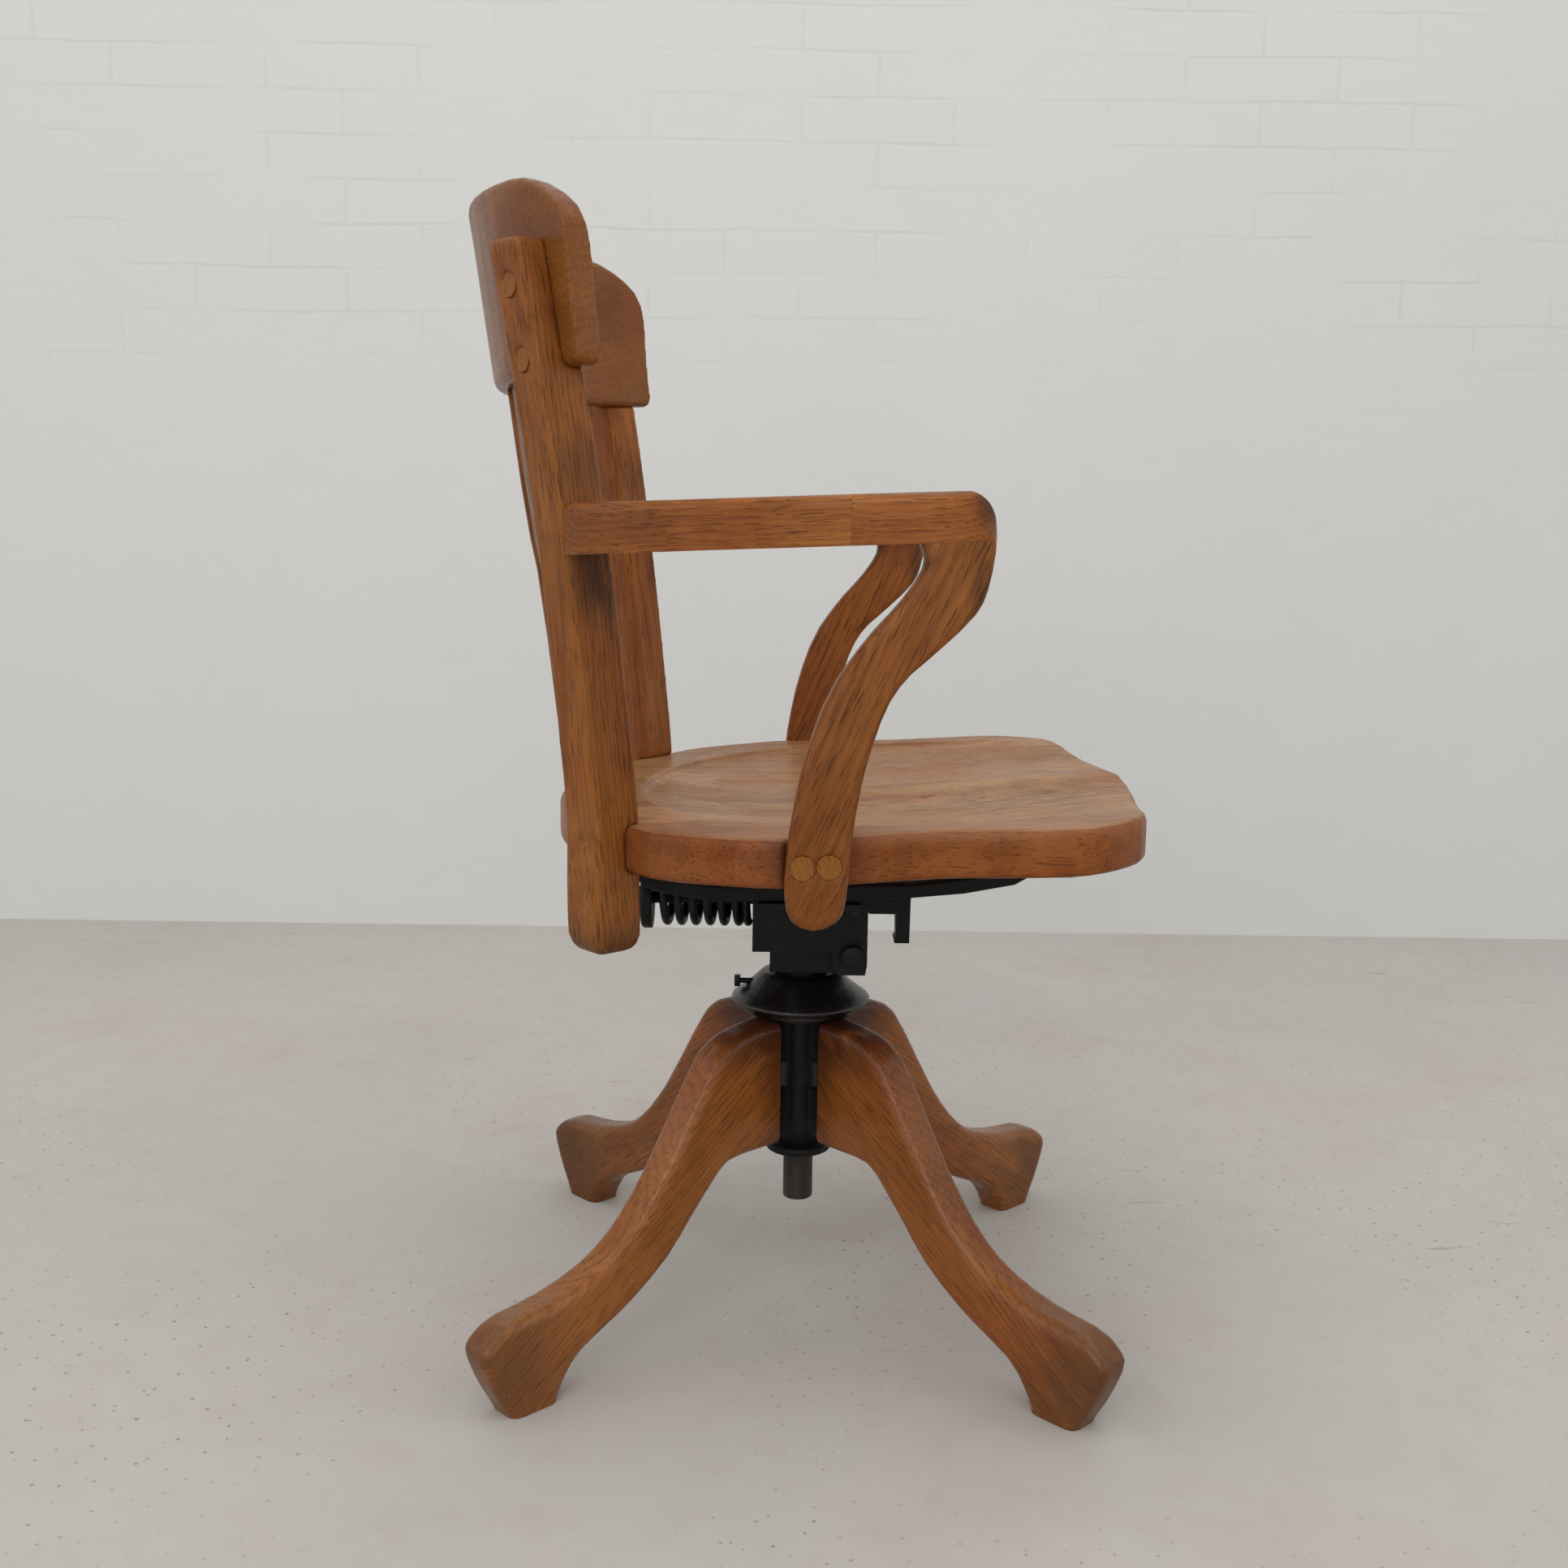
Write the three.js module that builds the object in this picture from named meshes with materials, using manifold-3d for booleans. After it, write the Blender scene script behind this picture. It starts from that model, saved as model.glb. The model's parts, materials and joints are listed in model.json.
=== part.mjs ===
// Swivel desk chair, in millimetres: z is the swivel axis, up from the floor, the chair faces -y and +x is
// the sitter's left.
import * as THREE from 'three';
import { mergeVertices } from 'three/addons/utils/BufferGeometryUtils.js';
import Module from 'manifold-3d';

const wasm = await Module();
wasm.setup();

// Clearances and small finishes
const fitGap = 0.3;
const glueGap = 0.08;
const mergeDistance = 1e-3;
const plugProud = 0.4;

// How far a cutting tool reaches past its cut, and how deep joined shapes reach into each other
const overrun = 2;
const bite = 1;

// Spindle and column
const spindleRadius = 12.7;
const spindle = { bottom: 87, top: 321.7, chamfer: 1 };
const column = { outer: 16, bottom: 127, plateBottom: 252.3, plateTop: 255, plateRadius: 39 };
const columnGap = 0.5;
const columnBore = spindleRadius + columnGap;
const flange = { inner: 33, outer: 37.7, width: 20, bottom: 150, top: 248 };
const rib = { inner: 14.5, thickness: 8, windowBottom: 188, windowTop: 212 };
const bottomNut = { radius: 28, bottom: 131, top: 138, chamfer: 1.5 };
const bearing = { outer: 26, bottom: 255.2, top: 258.2, chamfer: 0.6 };

// Legs, as outlines of reach from the axis and height; they run past the inner end and the sole, and are
// then cut flat there. The base stands turned a little from the seat.
const leg = { thickness: 30, rounding: 6, innerEnd: 38, turn: THREE.MathUtils.degToRad(-1) };
const legUpper = [
  [28, 252], [68, 250], [98, 240], [117, 218], [146, 173], [170, 138.5], [198, 108.5], [228, 90],
  [270, 78], [310, 73.3], [328.4, 63.2], [333, 52.5], [322, 25], [309, 2], [304, -14],
];
const legLower = [
  [269, -14], [267, 4], [250, 28.5], [224, 42.5], [195, 56.5], [158, 81.6], [131.5, 110], [113, 129],
  [100, 141], [84, 146.6], [28, 146.6],
];
const legCount = 4;
const legScrew = { z: 200, radius: 3, head: 6, headStart: 28, tip: 76 };

// Handwheel and its set screw
const wheelBell = [
  [27, 258.5], [27, 274], [38, 271], [46, 264], [47.5, 256.5], [50, 256.5], [51.5, 257], [52.5, 259],
  [54, 261.5], [57, 262.8], [59.1, 264.8], [57.6, 267.2], [52, 271], [42, 279], [34.5, 286.5], [32, 288],
  [24, 288], [24, 282],
];
const setScrew = { z: 278, radius: 2.3, start: 15, headStart: 51.4, headEnd: 56.4, headWidth: 8.6 };

// Tilt mechanism
const pivot = { y: -42, z: 310.3, radius: 6, headRadius: 9, headLength: 5, pastNut: 2 };
const casting = { halfWidth: 32, bossRadius: 22, bossBottom: 284, bossHeight: 20, socketTop: 322 };
const castingOutline = [[-54, 302], [-52.5, 294], [26.5, 294], [26.5, 328], [-30, 340], [-54, 340]];
const lugOutline = [[-54, 336], [-31, 336], [-35, 356.5], [-49, 356.5], [-49.5, 357.7], [-54, 357.7]];
const lug = { inner: 7, outer: 18 };
const yoke = { inner: 32.6, outer: 39, plateBottom: 358, plateTop: 364, plateHalfWidth: 84 };
const yokePlate = { front: -46, rear: 36, tongueFront: -91, tongueHalfWidth: 13 };
const yokeWall = { front: 28, rear: 41, bottom: 313 };
const cheekOutline = [
  [41, 313], [41, 364], [-54, 364], [-54, 302], [-52.5, 294], [-31, 294], [-27, 300], [-24, 313],
];
const hookBar = { front: -79, rear: -65, bottom: 343.7, top: 357.7 };
const hookOutline = [
  [-65, 357.7], [-65, 343.7], [-79, 343.7], [-79.6, 319], [-78, 317.5], [-78, 315.2], [-90.5, 315.2],
  [-91, 357.7],
];
const anchor = { z: 349.5, pinRadius: 3.5, eyeRadius: 7.5, eyeHalfWidth: 6 };
const rod = { radius: 5, end: 150, wallHole: 6.7 };
const spring = {
  radius: 20, wire: 3.5, turns: 6.75, start: 41.4, end: 125.2, closedRise: 7.7, stepsPerTurn: 8, sides: 5,
};
const endCap = { start: 125.6, end: 135.2, radius: 26, chamfer: 2 };
const tensionNut = { start: 135.6, end: 144, radius: 9.8 };

// Seat irons under the board
const iron = { x: 70, width: 22, rounding: 2 };
const ironOutline = [
  [-232, 420.4], [-204, 419.2], [-197, 406.4], [-187, 391.9], [-168, 380.9], [-128, 373.2], [-87, 369.2],
  [-50, 364.3], [71, 364.3], [110, 369.8], [128, 375.8], [137, 387], [143, 398], [150, 403.4],
  [178, 402.2], [178, 408.4], [146, 409.8], [138, 407.5], [128, 395], [112, 382.5], [71, 377.5],
  [-87, 380.5], [-150, 389], [-170, 396.5], [-182, 409], [-189, 422.5], [-196, 424.9], [-232, 426.5],
];
const ironBolt = { ys: [-38, 24], radius: 3, head: 5.5, headBottom: 353.8, top: 372.5 };
const seatScrew = { ys: [-218, 163], radius: 2, head: 4.2, headHeight: 2.6, reach: 22, headDepth: 6.6 };

// Seat board: its top leans, front higher; the outline is half width at y, from the front to the rear corner
const seat = { topAtAxis: 451, slope: -0.0443, thickness: 34.5, edge: 5, rearArcRadius: 302, rearArcY: -101 };
const seatHalfWidths = [
  [0, -264], [60, -261.5], [120, -254], [180, -247], [212, -241], [232, -228.5], [247, -213], [258, -195.5],
  [261, -172], [256, -125], [252, -96], [255, -69], [259, -50], [264, -28], [268, -5], [271, 14],
  [266, 34], [255, 60], [242, 87], [223, 112],
];
const seatCorner = [193, 133];
const seatCentreY = -40;
const saddle = {
  halfWidth: 222, rearLength: 182, centreY: -48, depth: 13, flatShare: 0.55,
  frontDepth: 6, fadeStart: -90, fadeEnd: -250,
};
const ridge = { width: 40, height: 6.5, start: -10, peak: -190, end: -255, frontFall: 0.45 };

// Rings of the seat's skin: share of the outline and, on the rounded edge, share of the edge height
const seatUnderRings = [[0.5, 0], [0.985, 0], [0.996, 0.3], [1, 1]];
const seatEdgeRings = [[1, 1], [0.996, 0.4], [0.988, 0.1], [0.975, 0]];
const seatTopRings = [[0.88, 0], [0.76, 0], [0.62, 0], [0.47, 0], [0.3, 0], [0.12, 0]];

// Posts: the outer front arris, leaning back and splaying out
const post = {
  width: 36, depth: 38, flare: 3, flareTop: 640, turn: THREE.MathUtils.degToRad(42), rounding: 4,
  stations: 14,
};
const postArris = [
  [187, 119, 351], [187, 120.5, 404], [187.3, 121, 449], [189.8, 125.8, 502], [194.5, 136, 598],
  [198.6, 146, 680], [202.7, 158.6, 767], [206.8, 172.5, 850],
];
const postEnds = { bottomRound: 17, topRound: 8, topScale: 0.82, bottomScale: 0.5, steps: [0.12, 0.35, 0.7] };

// Crest rail: a bent board that leans back
const crest = {
  frontRadius: 309.6, radiusGrowth: 0.13, thickness: 20.4, baseZ: 769, backY: 250.3, lean: 0.14,
  bottomMiddle: 762, bottomEnd: 768, topMiddle: 901, shoulderTop: 898, shoulderArc: 180,
  shoulderReach: 64, shoulderDrop: 50, bottomRadius: 4, arcScale: 320.6, rounding: 5,
};

// Back slats between the crest rail and the seat
const slat = {
  count: 5, width: 30, thickness: 8.5, topPitch: 54, bottomPitch: 49, rounding: 2.5, stations: 7,
};
const slatBack = [
  [192, 443], [195.5, 460], [203.3, 510], [210.5, 570], [218.2, 624], [223.6, 650], [230, 689], [240, 763],
];
const slatRadius = { bottom: 293, top: 319.6 };

// Arms and their supports
const arm = {
  topAtAxis: 681.6, slope: 0.04, underAtAxis: 647.9, underSlope: 0.0492, rounding: 5, jointY: -24.4,
  noseY: -120.5, noseRadius: 25,
};
const armPlan = [
  [238, 160], [242, 128], [250, 85], [263, 43], [277, 3], [287.5, -37], [291.5, -76], [290.3, -101],
  [283, -114.6], [270, -120], [257, -114.6], [250, -100], [247.5, -76], [243, -37], [234, 3],
  [221, 43], [209, 85], [200, 122], [196, 138],
];
const armHeel = [223.6, 172];
const support = { outer: 291.5, thickness: 26, rounding: 4.5 };
const supportFront = [
  [119, 662], [118.6, 645], [114, 620], [105, 603], [80.5, 579], [62, 562], [49, 541], [38, 507],
  [33.6, 486.5], [29.6, 461.5], [25.5, 414], [19.6, 398], [2.7, 391.4], [-12.2, 399],
];
const supportRear = [
  [-16.3, 417], [-15.4, 436.5], [-12.6, 463], [-3.4, 509], [13, 554.5], [37, 589.3], [57, 612],
  [71.3, 633.5], [71.5, 646], [64, 662],
];
const seatRecess = { front: -29.6, rear: 16.8 };
const plug = { radius: 8, depth: 6 };
const postPlugHeights = [771, 820];
const supportPlugs = [[-4.3, 435.4], [13.6, 436.4]];

// Frames of directions for outlines drawn in one plane and pushed out along the third axis
const xAxis = new THREE.Vector3(1, 0, 0);
const yAxis = new THREE.Vector3(0, 1, 0);
const zAxis = new THREE.Vector3(0, 0, 1);
const sideView = new THREE.Matrix4().makeBasis(yAxis, zAxis, xAxis);
const quarterTurn = Math.PI / 2;

// Merges a surface's corners into a closed solid and turns it outwards
function closed(source) {
  const geometry = source.clone();
  geometry.deleteAttribute('normal');
  geometry.deleteAttribute('uv');
  const merged = mergeVertices(geometry, mergeDistance);
  const index = merged.index.array;
  const kept = [];
  for (let i = 0; i < index.length; i += 3) {
    const [a, b, c] = [index[i], index[i + 1], index[i + 2]];
    if (a !== b && b !== c && c !== a) kept.push(a, b, c);
  }
  if (volume(merged, kept) < 0) kept.reverse();
  merged.setIndex(kept);
  return merged;
}

// Signed volume of a triangle list
function volume(geometry, index) {
  const points = geometry.attributes.position;
  const [a, b, c] = [new THREE.Vector3(), new THREE.Vector3(), new THREE.Vector3()];
  let total = 0;
  for (let i = 0; i < index.length; i += 3) {
    a.fromBufferAttribute(points, index[i]);
    b.fromBufferAttribute(points, index[i + 1]);
    c.fromBufferAttribute(points, index[i + 2]);
    total += a.dot(b.cross(c));
  }
  return total;
}

function toManifold(geometry) {
  const surface = closed(geometry);
  const vertProperties = Float32Array.from(surface.attributes.position.array);
  const triVerts = Uint32Array.from(surface.index.array);
  return new wasm.Manifold(new wasm.Mesh({ numProp: 3, vertProperties, triVerts }));
}

function fromManifold(manifold) {
  const mesh = manifold.getMesh();
  const geometry = new THREE.BufferGeometry();
  geometry.setAttribute('position', new THREE.BufferAttribute(Float32Array.from(mesh.vertProperties), 3));
  geometry.setIndex(Array.from(mesh.triVerts));
  return geometry;
}

function joined(...parts) {
  return fromManifold(parts.map(toManifold).reduce((sum, part) => sum.add(part)));
}

function cut(body, ...tools) {
  return fromManifold(tools.map(toManifold).reduce((left, tool) => left.subtract(tool), toManifold(body)));
}

// Keeps the side of a solid that a plane's normal points to
function trimmed(body, normal, offset) {
  return fromManifold(toManifold(body).trimByPlane(normal, offset));
}

function mirrored(geometry) {
  return closed(geometry.clone().scale(-1, 1, 1));
}

// A skin over rings of points with equal counts, with flat fans on the first and last ring
function loft(rings) {
  const count = rings[0].length;
  const positions = rings.flat().flatMap((point) => [point.x, point.y, point.z]);
  const indices = [];
  for (let i = 0; i + 1 < rings.length; i += 1) {
    for (let j = 0; j < count; j += 1) {
      const a = i * count + j;
      const b = i * count + (j + 1) % count;
      indices.push(a, b, a + count, b, b + count, a + count);
    }
  }
  [0, rings.length - 1].forEach((ringIndex) => {
    const centre = new THREE.Vector3();
    rings[ringIndex].forEach((point) => centre.addScaledVector(point, 1 / count));
    const centreIndex = positions.length / 3;
    positions.push(centre.x, centre.y, centre.z);
    for (let j = 0; j < count; j += 1) {
      const a = ringIndex * count + j;
      const b = ringIndex * count + (j + 1) % count;
      if (ringIndex === 0) indices.push(b, a, centreIndex);
      else indices.push(a, b, centreIndex);
    }
  });
  const geometry = new THREE.BufferGeometry();
  geometry.setAttribute('position', new THREE.Float32BufferAttribute(positions, 3));
  geometry.setIndex(indices);
  return closed(geometry);
}

// Corners of a rectangle with rounded corners, as pairs
function roundedRectangle(width, height, radius, cornerSteps = 2) {
  const points = [];
  [[1, 1], [-1, 1], [-1, -1], [1, -1]].forEach(([signX, signY], quarter) => {
    for (let i = 0; i <= cornerSteps; i += 1) {
      const angle = (quarter + i / cornerSteps) * quarterTurn;
      const x = signX * (width / 2 - radius) + radius * Math.cos(angle);
      const y = signY * (height / 2 - radius) + radius * Math.sin(angle);
      points.push([x, y]);
    }
  });
  return points;
}

// Extrudes a shape to a thickness centred on its plane, with rounded edges
function slab(shape, thickness, rounding, curveSegments = 2) {
  const geometry = new THREE.ExtrudeGeometry(shape, {
    depth: thickness - 2 * rounding,
    bevelEnabled: rounding > 0,
    bevelThickness: rounding,
    bevelSize: rounding,
    bevelOffset: -rounding,
    bevelSegments: 2,
    curveSegments,
  });
  return geometry.translate(0, 0, rounding - thickness / 2);
}

function polygon(points) {
  return new THREE.Shape(points.map(([x, y]) => new THREE.Vector2(x, y)));
}

function vectors(points) {
  return points.map(([x, y]) => new THREE.Vector2(x, y));
}

function block(xMin, xMax, yMin, yMax, zMin, zMax) {
  const geometry = new THREE.BoxGeometry(xMax - xMin, yMax - yMin, zMax - zMin);
  return geometry.translate((xMin + xMax) / 2, (yMin + yMax) / 2, (zMin + zMax) / 2);
}

// Turned solids about the z axis, and plain rods along any axis
function turned(profile, segments = 30) {
  return new THREE.LatheGeometry(vectors(profile), segments).rotateX(quarterTurn);
}

function rodAlong(axis, radius, start, end, segments = 20) {
  const profile = vectors([[0, start], [radius, start], [radius, end], [0, end]]);
  const geometry = new THREE.LatheGeometry(profile, segments);
  const turn = new THREE.Quaternion().setFromUnitVectors(yAxis, axis);
  return geometry.applyQuaternion(turn);
}

function ring(outer, inner, bottom, top, chamfer = 0) {
  const profile = [[inner, bottom], [outer - chamfer, bottom]];
  if (chamfer > 0) profile.push([outer, bottom + chamfer], [outer, top - chamfer]);
  else profile.push([outer, bottom], [outer, top]);
  profile.push([outer - chamfer, top], [inner, top], [inner, bottom]);
  const distinct = profile.filter((point, i) => i === 0 || point.join() !== profile[i - 1].join());
  return turned(distinct);
}

const nodes = [];

function add(name, geometry, material) {
  const surface = closed(geometry);
  const flat = surface.toNonIndexed();
  flat.computeVertexNormals();
  const mesh = new THREE.Mesh(flat, new THREE.MeshStandardMaterial(material));
  mesh.name = name;
  nodes.push(mesh);
}

const oak = { color: 0x9a5a26, roughness: 0.5, metalness: 0 };
const darkOak = { color: 0x7d4620, roughness: 0.52, metalness: 0 };
const wornOak = { color: 0xa96b3d, roughness: 0.48, metalness: 0 };
const plugOak = { color: 0x9c6a2c, roughness: 0.55, metalness: 0 };
const castIron = { color: 0x1b1b1c, roughness: 0.55, metalness: 0.7 };
const bareSteel = { color: 0x4a4640, roughness: 0.45, metalness: 0.9 };
const blackSteel = { color: 0x232324, roughness: 0.5, metalness: 0.8 };

// Legs
function legBody() {
  const shape = new THREE.Shape();
  shape.moveTo(...legUpper[0]);
  shape.splineThru(vectors(legUpper.slice(1)));
  shape.lineTo(...legLower[0]);
  shape.splineThru(vectors(legLower.slice(1)));
  shape.closePath();
  const long = slab(shape, leg.thickness, leg.rounding).rotateX(quarterTurn);
  const plank = trimmed(trimmed(long, [1, 0, 0], leg.innerEnd), [0, 0, 1], 0);
  const hole = rodAlong(xAxis, legScrew.radius + fitGap, leg.innerEnd - overrun, legScrew.tip + fitGap, 12);
  return cut(plank, hole.translate(0, 0, legScrew.z));
}

const legShape = legBody();
const legDirections = Array.from({ length: legCount }, (_, i) => (
  (i + 0.5) * 2 * Math.PI / legCount + leg.turn
));
const legNames = ['leg_rear_left', 'leg_rear_right', 'leg_front_right', 'leg_front_left'];
legDirections.forEach((direction, i) => {
  add(legNames[i], legShape.clone().rotateZ(direction), darkOak);
});

// Iron column: tube, top plate and four flanged ribs that the legs are screwed to
const tube = ring(column.outer, columnBore, column.bottom, column.plateTop);
const plate = ring(column.plateRadius, columnBore, column.plateBottom, column.plateTop);
const flangeParts = legDirections.flatMap((direction) => {
  const half = flange.width / 2;
  const halfRib = rib.thickness / 2;
  const face = block(flange.inner, flange.outer, -half, half, flange.bottom, flange.top);
  const ribs = [[flange.bottom, rib.windowBottom], [rib.windowTop, flange.top]].map(([bottom, top]) => (
    block(rib.inner, flange.inner + bite, -halfRib, halfRib, bottom, top)
  ));
  const hole = rodAlong(xAxis, legScrew.radius + fitGap, flange.inner - overrun, flange.outer + overrun, 12);
  return [cut(joined(face, ...ribs), hole.translate(0, 0, legScrew.z)).rotateZ(direction)];
});
add('hub_column', joined(tube, plate, ...flangeParts), castIron);
const nutBore = column.outer + fitGap;
const columnNut = ring(bottomNut.radius, nutBore, bottomNut.bottom, bottomNut.top, bottomNut.chamfer);
add('column_nut', columnNut, blackSteel);

legDirections.forEach((direction, i) => {
  const head = rodAlong(xAxis, legScrew.head, legScrew.headStart, flange.inner - glueGap, 6);
  const shank = rodAlong(xAxis, legScrew.radius, legScrew.headStart + bite, legScrew.tip, 12);
  const screw = joined(head, shank).translate(0, 0, legScrew.z).rotateZ(direction);
  add(legNames[i].replace('leg', 'leg_screw'), screw, blackSteel);
});

// Bearing ring, handwheel and set screw
const race = ring(bearing.outer, columnBore, bearing.bottom, bearing.top, bearing.chamfer);
add('bearing_ring', race, bareSteel);

const wheelBore = spindleRadius + fitGap;
const bellTop = wheelBell[wheelBell.length - 1][1];
const bellProfile = [[wheelBore, wheelBell[0][1]], ...wheelBell, [wheelBore, bellTop], [wheelBore, wheelBell[0][1]]];
const screwHole = rodAlong(yAxis, setScrew.radius + fitGap, wheelBore - overrun, setScrew.headStart, 12);
add('handwheel', cut(turned(bellProfile), screwHole.translate(0, 0, setScrew.z)), castIron);

const halfHead = setScrew.headWidth / 2;
const squareHead = block(-halfHead, halfHead, setScrew.headStart, setScrew.headEnd, -halfHead, halfHead);
const setShank = rodAlong(yAxis, setScrew.radius, setScrew.start, setScrew.headStart + bite, 12);
add('set_screw', joined(squareHead, setShank).translate(0, 0, setScrew.z), blackSteel);

// Spindle and the casting that sits on it
const spindleProfile = [
  [0, spindle.bottom], [spindleRadius - spindle.chamfer, spindle.bottom],
  [spindleRadius, spindle.bottom + spindle.chamfer], [spindleRadius, spindle.top], [0, spindle.top],
];
add('spindle', turned(spindleProfile), bareSteel);

function sidePlate(outline, xMin, xMax, rounding = 0) {
  const standing = slab(polygon(outline), xMax - xMin, rounding).applyMatrix4(sideView);
  return standing.translate((xMin + xMax) / 2, 0, 0);
}

const castingBlock = sidePlate(castingOutline, -casting.halfWidth, casting.halfWidth);
const lugs = [-1, 1].map((side) => {
  const ends = [side * lug.inner, side * lug.outer];
  return sidePlate(lugOutline, Math.min(...ends), Math.max(...ends));
});
const boss = rodAlong(zAxis, casting.bossRadius, casting.bossBottom, casting.bossBottom + casting.bossHeight);
const socket = rodAlong(zAxis, spindleRadius + fitGap, casting.bossBottom - overrun, casting.socketTop);
const across = yoke.plateHalfWidth;
const pivotHole = rodAlong(xAxis, pivot.radius + fitGap, -across, across).translate(0, pivot.y, pivot.z);
const anchorBore = anchor.pinRadius + fitGap;
const anchorHole = rodAlong(xAxis, anchorBore, -across, across, 20).translate(0, pivot.y, anchor.z);
add('hub_casting', cut(joined(castingBlock, ...lugs, boss), socket, pivotHole, anchorHole), castIron);

const pinHeadStart = yoke.outer + fitGap;
const pinHeadEnd = pinHeadStart + pivot.headLength;
const pinShank = rodAlong(xAxis, pivot.radius, -pinHeadStart - bite, pinHeadEnd + pivot.pastNut);
const pinHead = rodAlong(xAxis, pivot.headRadius, -pinHeadEnd, -pinHeadStart);
add('pivot_pin', joined(pinShank, pinHead).translate(0, pivot.y, pivot.z), blackSteel);
const nutBlank = rodAlong(xAxis, pivot.headRadius, pinHeadStart, pinHeadEnd, 6);
const nutHole = rodAlong(xAxis, pivot.radius + fitGap, pinHeadStart - overrun, pinHeadEnd + overrun);
add('pivot_nut', cut(nutBlank, nutHole).translate(0, pivot.y, pivot.z), blackSteel);
const anchorPin = rodAlong(xAxis, anchor.pinRadius, -lug.outer, lug.outer, 20);
add('anchor_pin', anchorPin.translate(0, pivot.y, anchor.z), blackSteel);

// Tension rod with its eye, the end cap and the nut behind it
const eye = rodAlong(xAxis, anchor.eyeRadius, -anchor.eyeHalfWidth, anchor.eyeHalfWidth, 24);
eye.translate(0, pivot.y, 0);
const rodBar = rodAlong(yAxis, rod.radius, pivot.y, rod.end);
const eyeHole = rodAlong(xAxis, anchorBore, -lug.outer, lug.outer, 20).translate(0, pivot.y, 0);
add('tension_rod', cut(joined(eye, rodBar), eyeHole).translate(0, 0, anchor.z), blackSteel);

const rodBore = rod.radius + fitGap;
const capProfile = [
  [rodBore, endCap.start], [endCap.radius, endCap.start], [endCap.radius, endCap.end - endCap.chamfer],
  [endCap.radius - endCap.chamfer, endCap.end], [rodBore, endCap.end], [rodBore, endCap.start],
];
add('spring_end_cap', new THREE.LatheGeometry(vectors(capProfile), 30).translate(0, 0, anchor.z), castIron);
const tensionBlank = rodAlong(yAxis, tensionNut.radius, tensionNut.start, tensionNut.end, 6);
const tensionHole = rodAlong(yAxis, rodBore, tensionNut.start - overrun, tensionNut.end + overrun);
add('tension_nut', cut(tensionBlank, tensionHole).translate(0, 0, anchor.z), blackSteel);

// Tilt spring: one helical wire along y
function springRings() {
  const steps = Math.round(spring.turns * spring.stepsPerTurn);
  const first = spring.start + spring.wire;
  const openRun = spring.end - spring.wire - first - spring.closedRise;
  const openRise = openRun / (spring.turns - 1);
  const rings = [];
  for (let i = 0; i <= steps; i += 1) {
    const made = i / spring.stepsPerTurn;
    const turn = (2 * made + 1) * Math.PI;
    const rise = (made < 1 ? spring.closedRise : openRise) / 2 / Math.PI;
    const outward = new THREE.Vector3(Math.sin(turn), 0, Math.cos(turn));
    const along = new THREE.Vector3(Math.cos(turn) * spring.radius, rise, -Math.sin(turn) * spring.radius);
    const upright = new THREE.Vector3().crossVectors(along.normalize(), outward);
    const centre = outward.clone().multiplyScalar(spring.radius);
    centre.y = first + spring.closedRise * Math.min(made, 1) + openRise * Math.max(made - 1, 0);
    centre.z += anchor.z;
    rings.push(Array.from({ length: spring.sides }, (_, side) => {
      const angle = 2 * Math.PI * side / spring.sides;
      const point = centre.clone().addScaledVector(outward, spring.wire * Math.cos(angle));
      return point.addScaledVector(upright, spring.wire * Math.sin(angle));
    }));
  }
  return rings;
}

function leastGap(rings, apart) {
  let least = Infinity;
  for (let i = 0; i < rings.length; i += 1) {
    for (let j = i + apart; j < rings.length; j += 1) {
      rings[i].forEach((a) => rings[j].forEach((b) => {
        least = Math.min(least, a.distanceTo(b));
      }));
    }
  }
  return least;
}

const coil = springRings();
console.log(`spring: least gap to itself ${leastGap(coil, spring.stepsPerTurn / 2).toFixed(2)} mm`);
add('tilt_spring', loft(coil), blackSteel);

// Tilt yoke and the hook in front of it
const cheeks = [-1, 1].map((side) => {
  const ends = [side * yoke.inner, side * yoke.outer];
  return sidePlate(cheekOutline, Math.min(...ends), Math.max(...ends));
});
const wall = block(-yoke.outer, yoke.outer, yokeWall.front, yokeWall.rear, yokeWall.bottom, yoke.plateTop);
const topPlate = block(
  -yoke.plateHalfWidth, yoke.plateHalfWidth, yokePlate.front, yokePlate.rear, yoke.plateBottom, yoke.plateTop,
);
const tongue = block(
  -yokePlate.tongueHalfWidth, yokePlate.tongueHalfWidth, yokePlate.tongueFront, yokePlate.front + bite,
  yoke.plateBottom, yoke.plateTop,
);
const wallHole = rodAlong(yAxis, rod.wallHole, yokeWall.front - overrun, yokeWall.rear + overrun);
wallHole.translate(0, 0, anchor.z);
const boltPlaces = [-1, 1].flatMap((side) => ironBolt.ys.map((y) => [side * iron.x, y]));
const boltBore = ironBolt.radius + fitGap;
const plateHoles = boltPlaces.map(([x, y]) => (
  rodAlong(zAxis, boltBore, yoke.plateBottom - overrun, yoke.plateTop + overrun, 12).translate(x, y, 0)
));
const yokeBody = cut(joined(...cheeks, wall, topPlate, tongue), wallHole, pivotHole, ...plateHoles);
add('tilt_yoke', yokeBody, castIron);
const hookPlate = sidePlate(hookOutline, -yokePlate.tongueHalfWidth, yokePlate.tongueHalfWidth);
const crossBar = block(-yoke.outer, yoke.outer, hookBar.front, hookBar.rear, hookBar.bottom, hookBar.top);
const cheekFront = Math.min(...cheekOutline.map(([y]) => y));
const hookArms = [-1, 1].map((side) => {
  const ends = [side * yoke.inner, side * yoke.outer];
  const [inner, outer] = [Math.min(...ends), Math.max(...ends)];
  return block(inner, outer, hookBar.rear - bite, cheekFront - fitGap, hookBar.bottom, hookBar.top);
});
add('front_hook', joined(hookPlate, crossBar, ...hookArms), castIron);

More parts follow.
